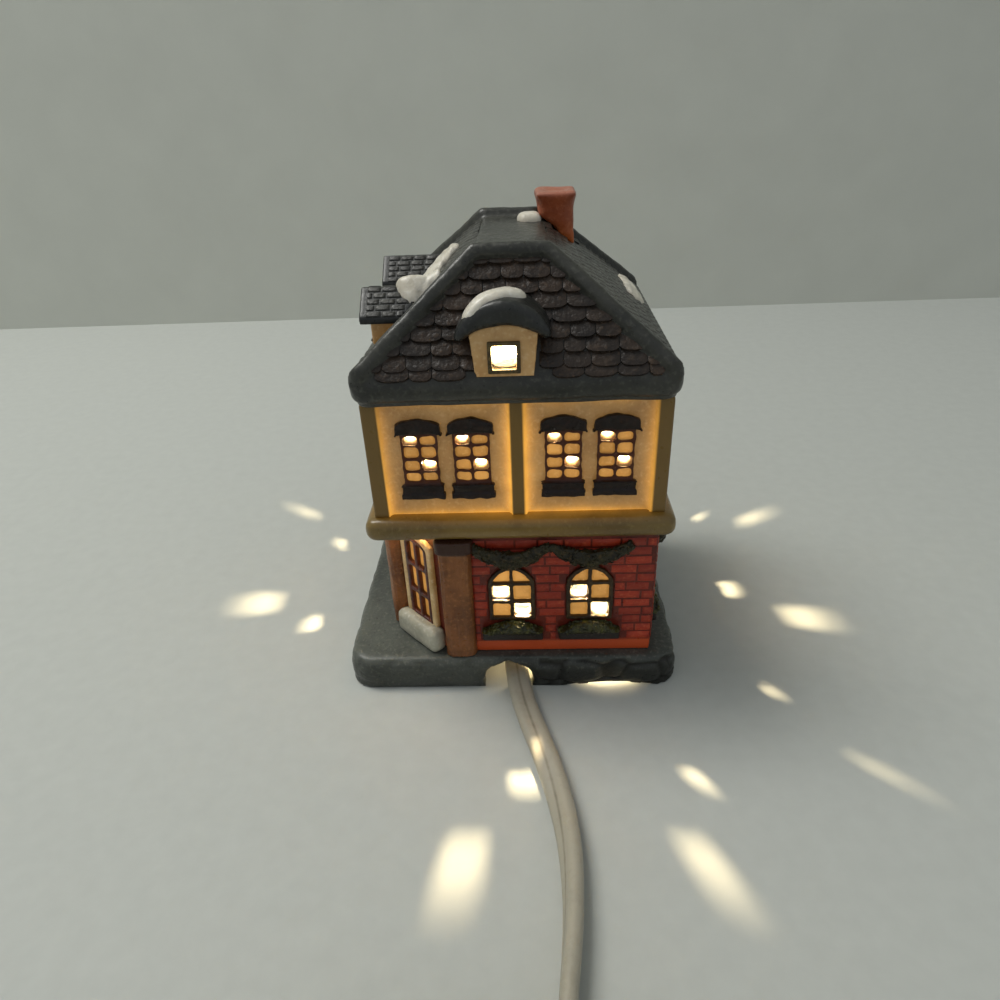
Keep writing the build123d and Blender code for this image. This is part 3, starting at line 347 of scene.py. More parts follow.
# The tie and the plug on the cord: a white paper-covered wire tie, and a moulded ivory
# plug with two flat brass blades.
finish_node(noisy_finish("paper_tie", (226, 225, 220), (204, 202, 194), 1500.0, 0.6, 0.8), "cord_tie")
finish_node(noisy_finish("moulded_plug", (184, 177, 159), (178, 171, 152), 260.0, 0.38, 0.48), "plug_body")


# The base: a hollow slab of slip-cast clay with a rim of cobbles, brushed with a grey
# glaze that breaks to pale specks. The cord leaves by the notch in its front edge.
def new_group(name, inputs, outputs, kind="ShaderNodeTree"):
    """A node group with its named sockets, what it is given and its output node."""
    group = bpy.data.node_groups.new(name, kind)
    for way, sockets in (("INPUT", inputs), ("OUTPUT", outputs)):
        for label, socket in sockets.items():
            group.interface.new_socket(label, in_out=way, socket_type="NodeSocket" + socket)
    return group, group.nodes.new("NodeGroupInput").outputs, group.nodes.new("NodeGroupOutput")


mottle, given, result = new_group(
    "glaze_mottle",
    {"Place": "Vector", "Body": "Color", "Pooled": "Color", "Worn": "Color", "Patch": "Float", "Speck": "Float"},
    {"Colour": "Color", "Height": "Float", "Rough": "Float"},
)
broad = grain(mottle, given["Place"], given["Patch"], 5.0, 0.62)
thin = grain(mottle, given["Place"], 1150.0, 4.0)
grit = add_node(mottle, "ShaderNodeTexVoronoi", {"Vector": given["Place"], "Scale": 900.0}).outputs["Distance"]
specks = field(mottle, "MULTIPLY", ramp(mottle, grit, 0.10, 0.22, 1.0, 0.0), given["Speck"])
pooled = blend(mottle, ramp(mottle, broad, 0.40, 0.62), given["Body"], given["Pooled"])
worn = blend(mottle, ramp(mottle, thin, 0.54, 0.72, 0.0, 0.7), pooled, given["Worn"])
feed(mottle, result, {
    "Colour": blend(mottle, specks, worn, tint(196, 194, 182)),
    "Height": field(mottle, "ADD", broad, thin),
    "Rough": ramp(mottle, thin, 0.3, 0.7, 0.26, 0.5),
})


def mask_of(tree, label):
    """What the piece has in the attribute named."""
    return add_node(tree, "ShaderNodeAttribute", attribute_name=label).outputs["Fac"]


def glazed(name, body, pooled, worn, patch, bump, speck=0.0, coat=0.12, marks=()):
    """Painted and glazed clay. Each mark is an attribute of the piece and the colour that it brings."""
    material, tree, shader, place = new_material(name)
    glaze = add_node(tree, "ShaderNodeGroup", node_tree=mottle)
    feed(tree, glaze, {"Place": place, "Body": tint(*body), "Pooled": tint(*pooled), "Worn": tint(*worn),
                       "Patch": patch, "Speck": speck})
    colour = glaze.outputs["Colour"]
    for label, tone in marks:
        colour = blend(tree, mask_of(tree, label), colour, tint(*tone))
    feed(tree, shader, {"Base Color": colour, "Roughness": glaze.outputs["Rough"], "Specular IOR Level": 0.3,
                        "Coat Weight": coat, "Coat Roughness": 0.22})
    dent(tree, shader, glaze.outputs["Height"], bump, 0.0004)
    return material


def settle(piece):
    """Turns what the modifiers make into the piece's own plain mesh."""
    done = bpy.data.meshes.new_from_object(piece.evaluated_get(bpy.context.evaluated_depsgraph_get()))
    piece.modifiers.clear()
    piece.data = done
    done.shade_smooth()
    return piece


def clay_body(name, scratch, voxel, rounds):
    """Joins and softens what the scratch mesh holds."""
    hard = bpy.data.meshes.new(name)
    scratch.to_mesh(hard)
    scratch.free()
    piece = add_object(f"glazed_{name}", hard)
    clay = piece.modifiers.new("clay", "REMESH")
    clay.mode = "VOXEL"
    clay.voxel_size = voxel * MM
    soft = piece.modifiers.new("soft", "SMOOTH")
    soft.factor = 0.5
    soft.iterations = rounds
    return settle(piece)


def clay_copy(name, voxel, rounds, *sources):
    """One soft clay body made from the solids named, rounded as casting and glaze leave it."""
    scratch = bmesh.new()
    for source in sources or (name,):
        scratch.from_mesh(nodes[source].data)
    bmesh.ops.remove_doubles(scratch, verts=scratch.verts, dist=2e-6)
    return clay_body(name, scratch, voxel, rounds)


def points_of(piece):
    """The piece's points in millimetres."""
    flat = np.empty(len(piece.data.vertices) * 3)
    piece.data.vertices.foreach_get("co", flat)
    return flat.reshape(-1, 3) * 1000


def press(piece, depth_at):
    """Moves each point along its normal by the millimetres that depth_at gives."""
    for vertex, normal in zip(piece.data.vertices, [n.vector.copy() for n in piece.data.vertex_normals]):
        vertex.co += normal * (depth_at(vertex.co * 1000, normal) * MM)


def rub(piece, chosen, rounds):
    """Rubs down the points that are chosen, as a wet sponge does."""
    scratch = bmesh.new()
    scratch.from_mesh(piece.data)
    picked = [vertex for vertex in scratch.verts if chosen(vertex.co * 1000)]
    for _ in range(rounds):
        bmesh.ops.smooth_vert(scratch, verts=picked, factor=0.5, use_axis_x=True, use_axis_y=True, use_axis_z=True)
    scratch.to_mesh(piece.data)
    scratch.free()


def mark(piece, label, values):
    """Keeps a value from 0 to 1 on each point, for a finish to read."""
    layer = piece.data.attributes.new(label, "FLOAT", "POINT")
    layer.data.foreach_set("value", np.clip(np.asarray(values, dtype=np.float32), 0, 1))


def seat(piece, finish, slot, *sources):
    """Gives a piece of the house its finish and the solids that it stands for; the slot is not used."""
    piece.data.materials.clear()
    piece.data.materials.append(finish)
    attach(piece, "house")
    if sources:
        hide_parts(*sources)


base_top, rim_reach = 5.7, (34.2, 31.7)
notch_middle, notch_half, notch_back, notch_top = -0.8, 9.5, -28.5, 7.6
cobble_length, cobble_height, cobble_gap = 8.5, 6.0, 0.16
worn_to, worn_share = 6.0, 0.3
joint_depth = []


def cobbles(spot, normal):
    if abs(normal.z) > 0.75 or spot.z < 0.4:
        joint_depth.append(0.0)
        return 0.10 * noise.noise(spot * 0.16) - 0.06
    run = spot.x if abs(normal.y) > abs(normal.x) else spot.y
    near, far = noise.voronoi(Vector((run / cobble_length, spot.z / cobble_height, 0.3)))[0][:2]
    strong = 1.0 if spot.x > worn_to else worn_share
    joint = math.exp(-((far - near) / cobble_gap) ** 2)
    joint_depth.append(strong * joint)
    return -strong * (0.8 * joint + 0.5 * near * near) - 0.05


def by_notch(spot):
    return abs(spot.x - notch_middle) < notch_half and spot.y < notch_back and 0.3 < spot.z < notch_top


base = clay_copy("base", 0.55, 4, "base_slab")
rub(base, by_notch, 20)
press(base, cobbles)
for vertex in base.data.vertices:
    vertex.co.z = max(vertex.co.z, 0.0)
x, y, z = points_of(base).T
mark(base, "hidden", (z < base_top) * (np.abs(x) < rim_reach[0]) * (np.abs(y) < rim_reach[1]))
# Painted shade: the base is made darker towards its foot, and more so towards its right.
edge_shade = np.clip((7.2 - z) / 3.0, 0, 1) * (0.45 + 0.45 * np.clip((x + 4) / 10, 0, 1))
mark(base, "painted_shade_and_joints", np.maximum(edge_shade * 0.85, joint_depth))
# The near-black mark is this painted shade, together with the dark cobble joints.
grey_glaze = glazed("grey_glaze", (86, 89, 82), (66, 69, 64), (112, 113, 102), 70.0, 0.4, speck=0.07,
                    marks=(("painted_shade_and_joints", (31, 30, 25)), ("hidden", (206, 200, 184))))
seat(base, grey_glaze, "grey_glaze", "base_slab")


# The brick storey: four thin clay walls with a cut corner, painted red over incised
# courses of brick, with a plain orange-red band at the foot. Inside it is bare and pale.
house_middle = (2.6, -2.75)
lower_half = (28.3, 28.75)
wall_thick, cut_corner = 0.68, -42.6
brick_pitch, brick_length, brick_joint = 2.25, 5.4, 0.42
brick_foot, brick_head, brick_least = 11.0, 38.0, 0.9
arch_size = (10.0, 14.2, 4.6)
arch_foot = 17.2
box_half = 7.2
arch_places = {
    "front": (0.45, 17.15), "right": (-20.75, -2.75, 15.25), "back": (-10.4, 15.6), "left": (-3.75, 14.25),
}
brick_runs = {"front": (-7.8, 30.6), "right": (-31.2, 25.7), "back": (-25.4, 30.6), "left": (-16.0, 25.7)}
wall_ways = {
    "front": ((1, 0, 0), (0, -1, 0)), "right": ((0, 1, 0), (1, 0, 0)),
    "back": ((-1, 0, 0), (0, 1, 0)), "left": ((0, -1, 0), (-1, 0, 0)),
}


def run_along(side, spot):
    """How far along a wall a spot lies."""
    return spot[0] if wall_ways[side][0][0] else spot[1]


def wall_spot(side, half, along, level, out=0.0):
    """A point on a wall, from the millimetres along it, above the table and out of its face."""
    way, face = wall_ways[side]
    place = Vector((along, 0, level)) if way[0] else Vector((0, along, level))
    place.x += abs(face[0]) * house_middle[0] + face[0] * (half[0] + out)
    place.y += abs(face[1]) * house_middle[1] + face[1] * (half[1] + out)
    return place * MM


# One pad is a cube's skin drawn out to a low cushion; its lower corners round off by the scallop.
pad_tree, given, result = new_group(
    "laid_pads",
    {"Places": "Geometry", "Thick": "Float", "Scallop": "Float", "Dome": "Float", "Finish": "Material"},
    {"Pads": "Geometry"}, "GeometryNodeTree",
)
put, sums = partial(add_node, pad_tree), partial(field, pad_tree)
block = put("GeometryNodeMeshCube", {"Vertices X": 7, "Vertices Y": 5, "Vertices Z": 2})
spot = put("GeometryNodeInputPosition")
x, y, z = put("ShaderNodeSeparateXYZ", {"Vector": spot.outputs[0]}).outputs
halves = []
for way in (x, y):
    size = sums("POWER", sums("ABSOLUTE", sums("MULTIPLY", way, 2.0)), 0.45)
    halves.append((size, sums("MULTIPLY", sums("SIGN", way), sums("MULTIPLY", size, 0.5))))
(wide, drawn_x), (tall, even_y) = halves
corner = sums("MULTIPLY", sums("POWER", wide, 4.0), given["Scallop"])
drawn_y = sums("ADD", even_y, sums("MULTIPLY", corner, sums("SUBTRACT", 0.5, even_y)))
rim = sums("MAXIMUM", sums("POWER", wide, 9.0), sums("POWER", tall, 9.0))
swell = sums("SUBTRACT", 1.0, sums("MULTIPLY", rim, given["Dome"]))
drawn_z = sums("MULTIPLY", sums("ADD", z, 0.5), sums("MULTIPLY", swell, given["Thick"]))
drawn = put("ShaderNodeCombineXYZ", {"X": drawn_x, "Y": drawn_y, "Z": drawn_z})
pad = put("GeometryNodeSetPosition", {
    "Geometry": block.outputs["Mesh"], "Position": drawn.outputs[0]})
turn, grow = (
    put("GeometryNodeInputNamedAttribute", {"Name": label}, data_type="FLOAT_VECTOR")
    for label in ("turn", "grow")
)
aimed = put("FunctionNodeEulerToRotation", {0: turn.outputs["Attribute"]})
laid = put("GeometryNodeInstanceOnPoints", {
    "Points": given["Places"], "Instance": pad.outputs["Geometry"], "Rotation": aimed.outputs[0],
    "Scale": grow.outputs["Attribute"]})


def paint_whole(tree, result, label, instances, finish):
    """Ends a tree: makes the instances real, paints them and gives them out."""
    whole = add_node(tree, "GeometryNodeRealizeInstances", {"Geometry": instances})
    painted = add_node(tree, "GeometryNodeSetMaterial", {"Geometry": whole.outputs[0], "Material": finish})
    feed(tree, result, {label: painted.outputs[0]})


paint_whole(pad_tree, result, "Pads", laid.outputs["Instances"], given["Finish"])


def grow_by(tree, piece, values):
    """Runs a Geometry Nodes tree on a piece with its inputs set, and keeps the mesh."""
    modifier = piece.modifiers.new(tree.name, "NODES")
    modifier.node_group = tree
    for item in tree.interface.items_tree:
        if item.name in values:
            modifier[item.identifier] = values[item.name]
    return settle(piece)


pad_crease = math.radians(32)


def lay_pads(name, spots, thick, scallop, dome, finish, shade, slot, *sources):
    """Lays pads, some darker than others by the shade: from which tone on, how fast and how much.

    A spot is a place, the ways to the right and up, the pad's width and length and its tone."""
    points = bpy.data.meshes.new(name)
    points.from_pydata([spot[0] for spot in spots], [], [])
    turns, sizes = [], []
    for place, right, up, width, length, tone in spots:
        right, up = Vector(right).normalized(), Vector(up).normalized()
        turns.append(tuple(Matrix((right, up, right.cross(up))).transposed().to_euler()))
        sizes.append((width * MM, length * MM, MM))
    for label, values in (("turn", turns), ("grow", sizes)):
        layer = points.attributes.new(label, "FLOAT_VECTOR", "POINT")
        layer.data.foreach_set("vector", np.array(values, dtype=np.float32).ravel())
    piece = add_object(name, points)
    start, gain, most = shade
    mark(piece, "tone_dark", np.clip((np.array([spot[-1] for spot in spots]) - start) * gain, 0, most))
    grow_by(pad_tree, piece, {"Thick": thick, "Scallop": scallop, "Dome": dome, "Finish": finish})
    piece.data.set_sharp_from_angle(angle=pad_crease)
    seat(piece, finish, slot, *sources)


def free_spans(low, high, blocked):
    """What is left of a run once the blocked stretches are taken out."""
    spans = [(low, high)]
    for start, end in blocked:
        spans = [part for a, b in spans for part in ((a, min(b, start)), (max(a, end), b)) if part[1] > part[0]]
    return spans


def arch_top(across, inset=0.0):
    """How high the arch stands over the sill, at a distance across from its middle."""
    width, height, rise = arch_size
    share = min(abs(across) / (width / 2 - inset), 1.0)
    return height - rise + (rise - inset) * (1 - share ** 1.7) ** 0.6


def arch_reach(level):
    """How far the arch reaches to each side at a height over its sill."""
    width, height, rise = arch_size
    share = min(max((level - height + rise) / rise, 0.0), 0.98)
    return width / 2 * (1 - share ** (1 / 0.6)) ** (1 / 1.7)


dice = random.Random(41)
brick_spots = {side: [] for side in wall_ways}
for side, (run_low, run_high) in brick_runs.items():
    for row in range(int((brick_head - brick_foot) / brick_pitch)):
        level = brick_foot + (row + 0.5) * brick_pitch
        blocked = []
        for along in arch_places[side]:
            if level < arch_foot + 0.8:
                blocked.append((along - box_half, along + box_half))
            elif level < arch_foot + arch_size[1] + 0.6:
                reach = arch_reach(level - brick_pitch / 2 - arch_foot) + 0.35
                blocked.append((along - reach, along + reach))
        start = run_low - (row % 2) * brick_length / 2
        while start < run_high:
            end = start + brick_length + dice.uniform(-0.7, 0.9)
            low, high = max(start, run_low), min(end - brick_joint, run_high)
            tone = dice.random()
            for a, b in free_spans(low, high, blocked):
                if b - a > brick_least:
                    place = wall_spot(side, lower_half, (a + b) / 2, level + dice.uniform(-0.08, 0.08), -0.06)
                    way = Vector(wall_ways[side][0]) + Vector((0, 0, dice.uniform(-0.025, 0.025)))
                    brick_spots[side].append((place, way, (0, 0, 1), b - a, brick_pitch - brick_joint, tone))
            start = end

brick_walls = clay_copy("brick_walls", 0.45, 2, "lower_walls")
for vertex in brick_walls.data.vertices:
    spot = vertex.co * 1000
    up = spot.z - arch_foot
    for side in wall_ways:
        face = Vector(wall_ways[side][1])
        half = lower_half[0] if face.x else lower_half[1]
        depth = half - (spot - Vector((*house_middle, 0))).dot(face)
        if not (0.25 < depth < 1.0 and arch_size[1] - arch_size[2] < up < arch_size[1] + 0.3):
            continue
        for along in arch_places[side]:
            across = run_along(side, spot) - along
            if abs(across) < arch_size[0] / 2 + 0.3 and up > arch_top(across) - 0.2:
                vertex.co += face * ((depth - 0.05) * MM)
x, y, z = points_of(brick_walls).T
within = np.abs(x - house_middle[0]) < lower_half[0] - wall_thick
within &= np.abs(y - house_middle[1]) < lower_half[1] - wall_thick
mark(brick_walls, "hidden", within & (x + y > cut_corner))
mark(brick_walls, "band", (brick_foot + 0.3 - z) / 0.7)
joint_red = glazed("joint_red", (110, 38, 24), (86, 28, 18), (136, 52, 32), 120.0, 0.3,
                   marks=(("band", (206, 84, 40)), ("hidden", (226, 216, 196))))
seat(brick_walls, joint_red, "brick_red", "lower_walls")

brick_red = glazed("brick_red", (186, 64, 38), (152, 48, 30), (202, 92, 58), 140.0, 0.35,
                   marks=(("tone_dark", (126, 40, 27)),))
for side in wall_ways:
    lay_pads(f"bricks_{side}", brick_spots[side], 0.26, 0.0, 0.62, brick_red, (0.45, 1.1, 0.6), "brick_red")


# The arched windows: raised clay frames and bars painted brown, with panes of thin clay
# painted amber that glow from the lamp. Two panes of each window are cut right through.
glow, given, result = new_group(
    "lamp_glow",
    {"Place": "Vector", "Light": "Color", "Near": "Float", "Far": "Float", "Mask": "Float"},
    {"Glow": "Color"},
)
away = add_node(glow, "ShaderNodeVectorMath", {0: given["Place"], 1: bulb_place}, operation="DISTANCE")
fade = ramp(glow, away.outputs["Value"], given["Near"], given["Far"], 1.0, 0.0)
uneven = ramp(glow, grain(glow, given["Place"], 210.0, 4.0), 0.3, 0.7, 0.62, 1.0)
patchy = field(glow, "MULTIPLY", field(glow, "MULTIPLY", fade, uneven), given["Mask"])
feed(glow, result, {"Glow": blend(glow, patchy, (0, 0, 0, 1), given["Light"])})


def light_up(material, light, near, far, strength, label=None):
    """Lets the lamp's warm light show through the clay, more where the attribute named is high."""
    tree, shader, place = works(material)
    lamp = add_node(tree, "ShaderNodeGroup", node_tree=glow)
    feed(tree, lamp, {"Place": place, "Light": tint(*light), "Near": near * MM, "Far": far * MM, "Mask": 1.0})
    if label:
        feed(tree, lamp, {"Mask": mask_of(tree, label)})
    feed(tree, shader, {"Emission Color": lamp.outputs["Glow"], "Emission Strength": strength})


# The rim mark is painted shade: each pane is darker towards its edges, where it meets the bars.
amber_pane = glazed("amber_pane", (196, 142, 74), (176, 118, 56), (214, 168, 104), 260.0, 0.35,
                    marks=(("rim", (120, 66, 24)),))
light_up(amber_pane, (238, 172, 88), 26, 80, 0.85, "lit")
bar_width, pane_lap = 0.9, 0.2
# Each ring gives its share of the outline, how far out it stands and how much painted shade it carries.
pane_rings = ((1.0, -0.03, 0.75), (1.0, 0.05, 0.75), (0.62, 0.20, 0.0), (0.0, 0.26, 0.0))


def pane_plates(name, to_place, places, size, rows, skip=(), arched=False):
    """Pillowed panes between the bars. to_place turns across, up and out to a point on the wall."""
    width, height = size[:2]
    half = (width - 3 * bar_width) / 4 + pane_lap
    points, faces, rim_shades, lits = [], [], [], []
    cells = [(number, column, row) for number in range(len(places)) for column in (0, 1) for row in range(rows)]
    for number, column, row in cells:
        if (column, row) in skip:
            continue
        along = places[number]
        middle = (column - 0.5) * (width - bar_width) / 2
        low = row * height / rows + bar_width / 2 - pane_lap
        high = (row + 1) * height / rows - bar_width / 2 + pane_lap
        outline = [(middle - half, low), (middle, low), (middle + half, low), (middle + half, (low + high) / 2)]
        for share in (1, 0.5, 0, -0.5, -1):
            across = middle + share * half
            top = arch_top(across, bar_width) + 0.25 if arched and row == rows - 1 else high
            outline.append((across, top))
        outline.append((middle - half, (low + high) / 2))
        start, count = len(points), len(outline)
        centre = (middle, sum(p[1] for p in outline) / count)
        tone = 0.75 + 0.25 * noise.noise(Vector((along * 0.7, column * 3.1 + number, row * 2.3)))
        for share, out, rim in pane_rings:
            for across, up in outline if share else [centre]:
                across = centre[0] + (across - centre[0]) * share
                up = centre[1] + (up - centre[1]) * share
                points.append(to_place(along, across, up, out))
                rim_shades.append(rim)
                lits.append(tone)
        faces += ring_faces(start, count) + ring_faces(start + count, count)
        face, tip = start + 2 * count, start + 3 * count
        faces += [(face + step, face + (step + 1) % count, tip) for step in range(count)]
        faces.append(tuple(reversed(range(start, start + count))))
    piece = mesh_piece(name, points, faces)
    piece.data.shade_smooth()
    # Painted shade at the edges of each pane.
    mark(piece, "rim", rim_shades)
    mark(piece, "lit", lits)
    seat(piece, amber_pane, "frame_brown")


def wall_placer(side, half, foot, depth):
    flip = wall_ways[side][0][0] + wall_ways[side][0][1]
    return lambda along, across, up, out: wall_spot(side, half, along + flip * across, foot + up, out - depth)


def clay_skin(name, solids, voxel, rounds):
    """A soft clay body of solids, each of them a list of rings of points that follow each other."""
    scratch = bmesh.new()
    for rings in solids:
        rings = [[scratch.verts.new(point) for point in ring] for ring in rings]
        count = len(rings[0])
        for near, far in zip(rings, rings[1:]):
            for step in range(count):
                other = (step + 1) % count
                scratch.faces.new((near[step], near[other], far[other], far[step]))
        for ring in (rings[0], rings[-1]):
            for step in range(count // 2 - 1):
                scratch.faces.new((ring[step], ring[step + 1], ring[-step - 2], ring[-step - 1]))
    bmesh.ops.recalc_face_normals(scratch, faces=scratch.faces)
    return clay_body(name, scratch, voxel, rounds)


frame_brown = glazed("frame_brown", (70, 50, 24), (46, 31, 15), (98, 74, 38), 200.0, 0.35)
frame_depth = 0.6
for side in wall_ways:
    to_wall = wall_placer(side, lower_half, arch_foot, frame_depth)
    half, top = arch_size[0] / 2, arch_size[1]
    narrow = (half - bar_width) / half
    turns = [half * math.sin(math.radians(turn)) for turn in range(-90, 91, 10)]
    edge = [(-half, 0.0), *((x, arch_top(x)) for x in turns), (half, 0.0)]
    bars = []
    for first, second in zip(edge, edge[1:]):
        inner = [(x * narrow, y if y < top - arch_size[2] else arch_top(x * narrow, bar_width))
                 for x, y in (second, first)]
        bars.append(([first, second, *inner], 1.15))
    for low_x, low_y, high_x, high_y, out in (
        (-0.4, 0, 0.4, top - 0.4, 1.0), (-half, 0, half, 0.7, 1.1),
        (-half + 0.3, top / 3 - 0.4, half - 0.3, top / 3 + 0.4, 0.95),
        (-half + 0.3, 2 * top / 3 - 0.4, half - 0.3, 2 * top / 3 + 0.4, 0.95),
    ):
        bars.append(([(low_x, low_y), (high_x, low_y), (high_x, high_y), (low_x, high_y)], out))
    solids = [[[to_wall(along, x, y, level) for x, y in outline] for level in (0.0, out)]
              for along in arch_places[side] for outline, out in bars]
    frames = clay_skin(f"arched_frames_{side}", solids, 0.2, 3)
    press(frames, lambda spot, normal: 0.14 * noise.noise(spot * 0.8) - 0.03)
    seat(frames, frame_brown, "frame_brown", f"arch_windows_{side}")
    pane_plates(f"arched_panes_{side}", to_wall, arch_places[side], arch_size, 3, ((0, 1), (1, 0)), arched=True)


# The window boxes: dark troughs with rounded ends pressed on under the lower windows,
# heaped with a bush of leaves that is dabbed in two greens.
leaf_tree, given, result = new_group(
    "pressed_leaves",
    {"Body": "Geometry", "Density": "Float", "Leaf": "Float", "Seed": "Int", "Finish": "Material"},
    {"Heap": "Geometry"}, "GeometryNodeTree",
)
put, sums = partial(add_node, leaf_tree), partial(field, leaf_tree)
leafy = put("GeometryNodeInputNamedAttribute", {"Name": "leafy"}, data_type="FLOAT")
strewn = put("GeometryNodeDistributePointsOnFaces", {
    "Mesh": given["Body"], "Seed": given["Seed"],
    "Density": sums("MULTIPLY", leafy.outputs["Attribute"], given["Density"])})
blade = put("GeometryNodeMeshIcoSphere", {"Radius": 0.5, "Subdivisions": 1})
spot = put("GeometryNodeInputPosition")
shape = put("ShaderNodeVectorMath", {0: spot.outputs[0], 1: (1.5, 0.75, 0.5)}, operation="MULTIPLY")
leaf = put("GeometryNodeSetPosition", {
    "Geometry": blade.outputs["Mesh"], "Position": shape.outputs[0]})
spin = put("FunctionNodeRandomValue", {
    "Min": (-0.5, -0.5, 0.0), "Max": (0.5, 0.5, 6.28), "Seed": given["Seed"]}, data_type="FLOAT_VECTOR")
bent = put("FunctionNodeRotateEuler", {
    "Rotation": strewn.outputs["Rotation"], "Rotate By": spin.outputs["Value"]}, space="LOCAL")
vary = put("FunctionNodeRandomValue", {2: 0.65, 3: 1.25, "Seed": given["Seed"]}, data_type="FLOAT")
leaves = put("GeometryNodeInstanceOnPoints", {
    "Points": strewn.outputs["Points"], "Instance": leaf.outputs["Geometry"], "Rotation": bent.outputs[0],
    "Scale": sums("MULTIPLY", vary.outputs[1], given["Leaf"])})
heap = put("GeometryNodeJoinGeometry", {0: leaves.outputs["Instances"]})
leaf_tree.links.new(given["Body"], heap.inputs[0])
paint_whole(leaf_tree, result, "Heap", heap.outputs[0], given["Finish"])

box_green = glazed("box_green", (66, 66, 25), (34, 36, 15), (106, 104, 46), 420.0, 0.5, coat=0.3,
                   marks=(("trough", (27, 18, 13)),))
trough_top, bush_height, bush_half = 14.9, 2.6, 4.6
for number, side in enumerate(wall_ways):
    name = f"window_boxes_{side}"
    boxes = clay_copy(name, 0.26, 14)
    for vertex in boxes.data.vertices:
        spot = vertex.co * 1000
        off = min(abs(run_along(side, spot) - along) for along in arch_places[side]) / bush_half
        drop = 0.35 + 1.3 * min(off, 1.25) ** 2
        vertex.co.z -= drop * min(max((spot.z - trough_top) / bush_height, 0.0), 1.0) * MM
    z = points_of(boxes)[:, 2]
    mark(boxes, "trough", (trough_top - z) / 0.5)
    mark(boxes, "leafy", (z - trough_top) / 0.3)
    grow_by(leaf_tree, boxes, {"Density": 1.2e6, "Leaf": 0.00095, "Seed": 3 + number, "Finish": box_green})
    seat(boxes, box_green, "greenery", name)


# The corner door: a cream surround and a glazed leaf with dark red bars across the cut
# corner, between two brown columns with dark capitals, over a pale rounded step.
def plain_clay(name, voxel, rounds, finish, slot):
    """A piece that is its solid in soft clay, with nothing pressed into it."""
    seat(clay_copy(name, voxel, rounds), finish, slot, name)


door_middle = (-19.6, -25.4)
door_foot = 13.4
capital_foot = 35.4
column_brown = glazed("column_brown", (142, 88, 46), (108, 64, 32), (166, 110, 62), 150.0, 0.25,
                      marks=(("capital", (60, 35, 24)),))
tree, shader, place = works(column_brown)
pull = add_node(tree, "ShaderNodeMapping", {"Vector": place, "Scale": (1, 1, 0.08)})
dent(tree, shader, grain(tree, pull.outputs[0], 1100.0, 3.0), 0.6, 0.0006)


def flutes(spot, normal):
    groove = 0.16 * noise.noise(Vector((spot.x * 1.6, spot.y * 1.6, spot.z * 0.16)))
    return (groove if spot.z < capital_foot + 0.2 else 0.0) - 0.08


for name in ("column_front", "column_side"):
    column = clay_copy(name, 0.35, 5)
    mark(column, "capital", (points_of(column)[:, 2] - capital_foot) / 0.6)
    press(column, flutes)
    seat(column, column_brown, "column_brown", name)

pale_step = glazed("pale_step", (188, 184, 164), (162, 158, 140), (206, 203, 188), 110.0, 0.25,
                   marks=(("darkening", (96, 92, 78)),))
step = clay_copy("door_step", 0.4, 60)
press(step, lambda spot, normal: 0.5 + 0.2 * noise.noise(spot * 0.3))
# The step is painted darker towards its foot.
mark(step, "darkening", np.clip((8.9 - points_of(step)[:, 2]) / 1.2, 0, 0.8))
seat(step, pale_step, "pale_step", "door_step")

surround_cream = glazed("surround_cream", (206, 184, 140), (176, 148, 100), (220, 204, 168), 150.0, 0.25)
light_up(surround_cream, (214, 150, 70), 20, 60, 0.18)
plain_clay("door_surround", 0.28, 5, surround_cream, "frame_brown")
bar_red = glazed("bar_red", (92, 36, 22), (64, 22, 14), (122, 58, 36), 240.0, 0.3, coat=0.35)
plain_clay("door_leaf", 0.24, 3, bar_red, "frame_brown")


def door_placer(along, across, up, out):
    half = math.sqrt(0.5)
    x, y = door_middle[0] + (across - out) * half, door_middle[1] - (across + out) * half
    return Vector((x, y, door_foot + up)) * MM


pane_plates("door_panes", door_placer, (0.0,), (7.6, 21.5), 3)


# The swags: fat ropes of evergreen hung over the lower windows, modelled in clay with
# pressed leaves and painted a dark green with a few paler tips.
swag_green = glazed("swag_green", (50, 46, 22), (30, 27, 13), (88, 70, 38), 300.0, 0.6, speck=0.03, coat=0.08)
swag_level, swag_drop, swag_reach, swag_fat = 37.0, 3.0, 8.5, 2.1
for number, side in enumerate(("front", "right", "back")):
    to_wall = wall_placer(side, lower_half, 0.0, 0.0)
    ropes = []
    for along in arch_places[side]:
        rings = []
        for step in range(25):
            share = step / 12 - 1
            fat = swag_fat * (1 - 0.5 * abs(share) ** 1.8)
            centre = (share * swag_reach, swag_level - swag_drop * (1 - share * share))
            slope = math.atan2(2 * swag_drop * share, swag_reach)
            spokes = [math.tau * turn / 12 for turn in range(12)]
            rings.append([to_wall(along, centre[0] - fat * math.cos(spoke) * math.sin(slope),
                                  centre[1] + fat * math.cos(spoke) * math.cos(slope),
                                  0.7 * fat + 0.75 * fat * math.sin(spoke)) for spoke in spokes])
        ropes.append(rings)
    swags = clay_skin(f"swags_{side}", ropes, 0.26, 2)
    mark(swags, "leafy", np.ones(len(swags.data.vertices)))
    press(swags, lambda spot, normal: 0.45 * noise.noise(spot * 0.6) + 0.2 * noise.noise(spot * 1.5) - 0.15)
    grow_by(leaf_tree, swags, {"Density": 0.7e6, "Leaf": 0.0009, "Seed": 11 + number, "Finish": swag_green})
    seat(swags, swag_green, "greenery", f"swags_{side}")


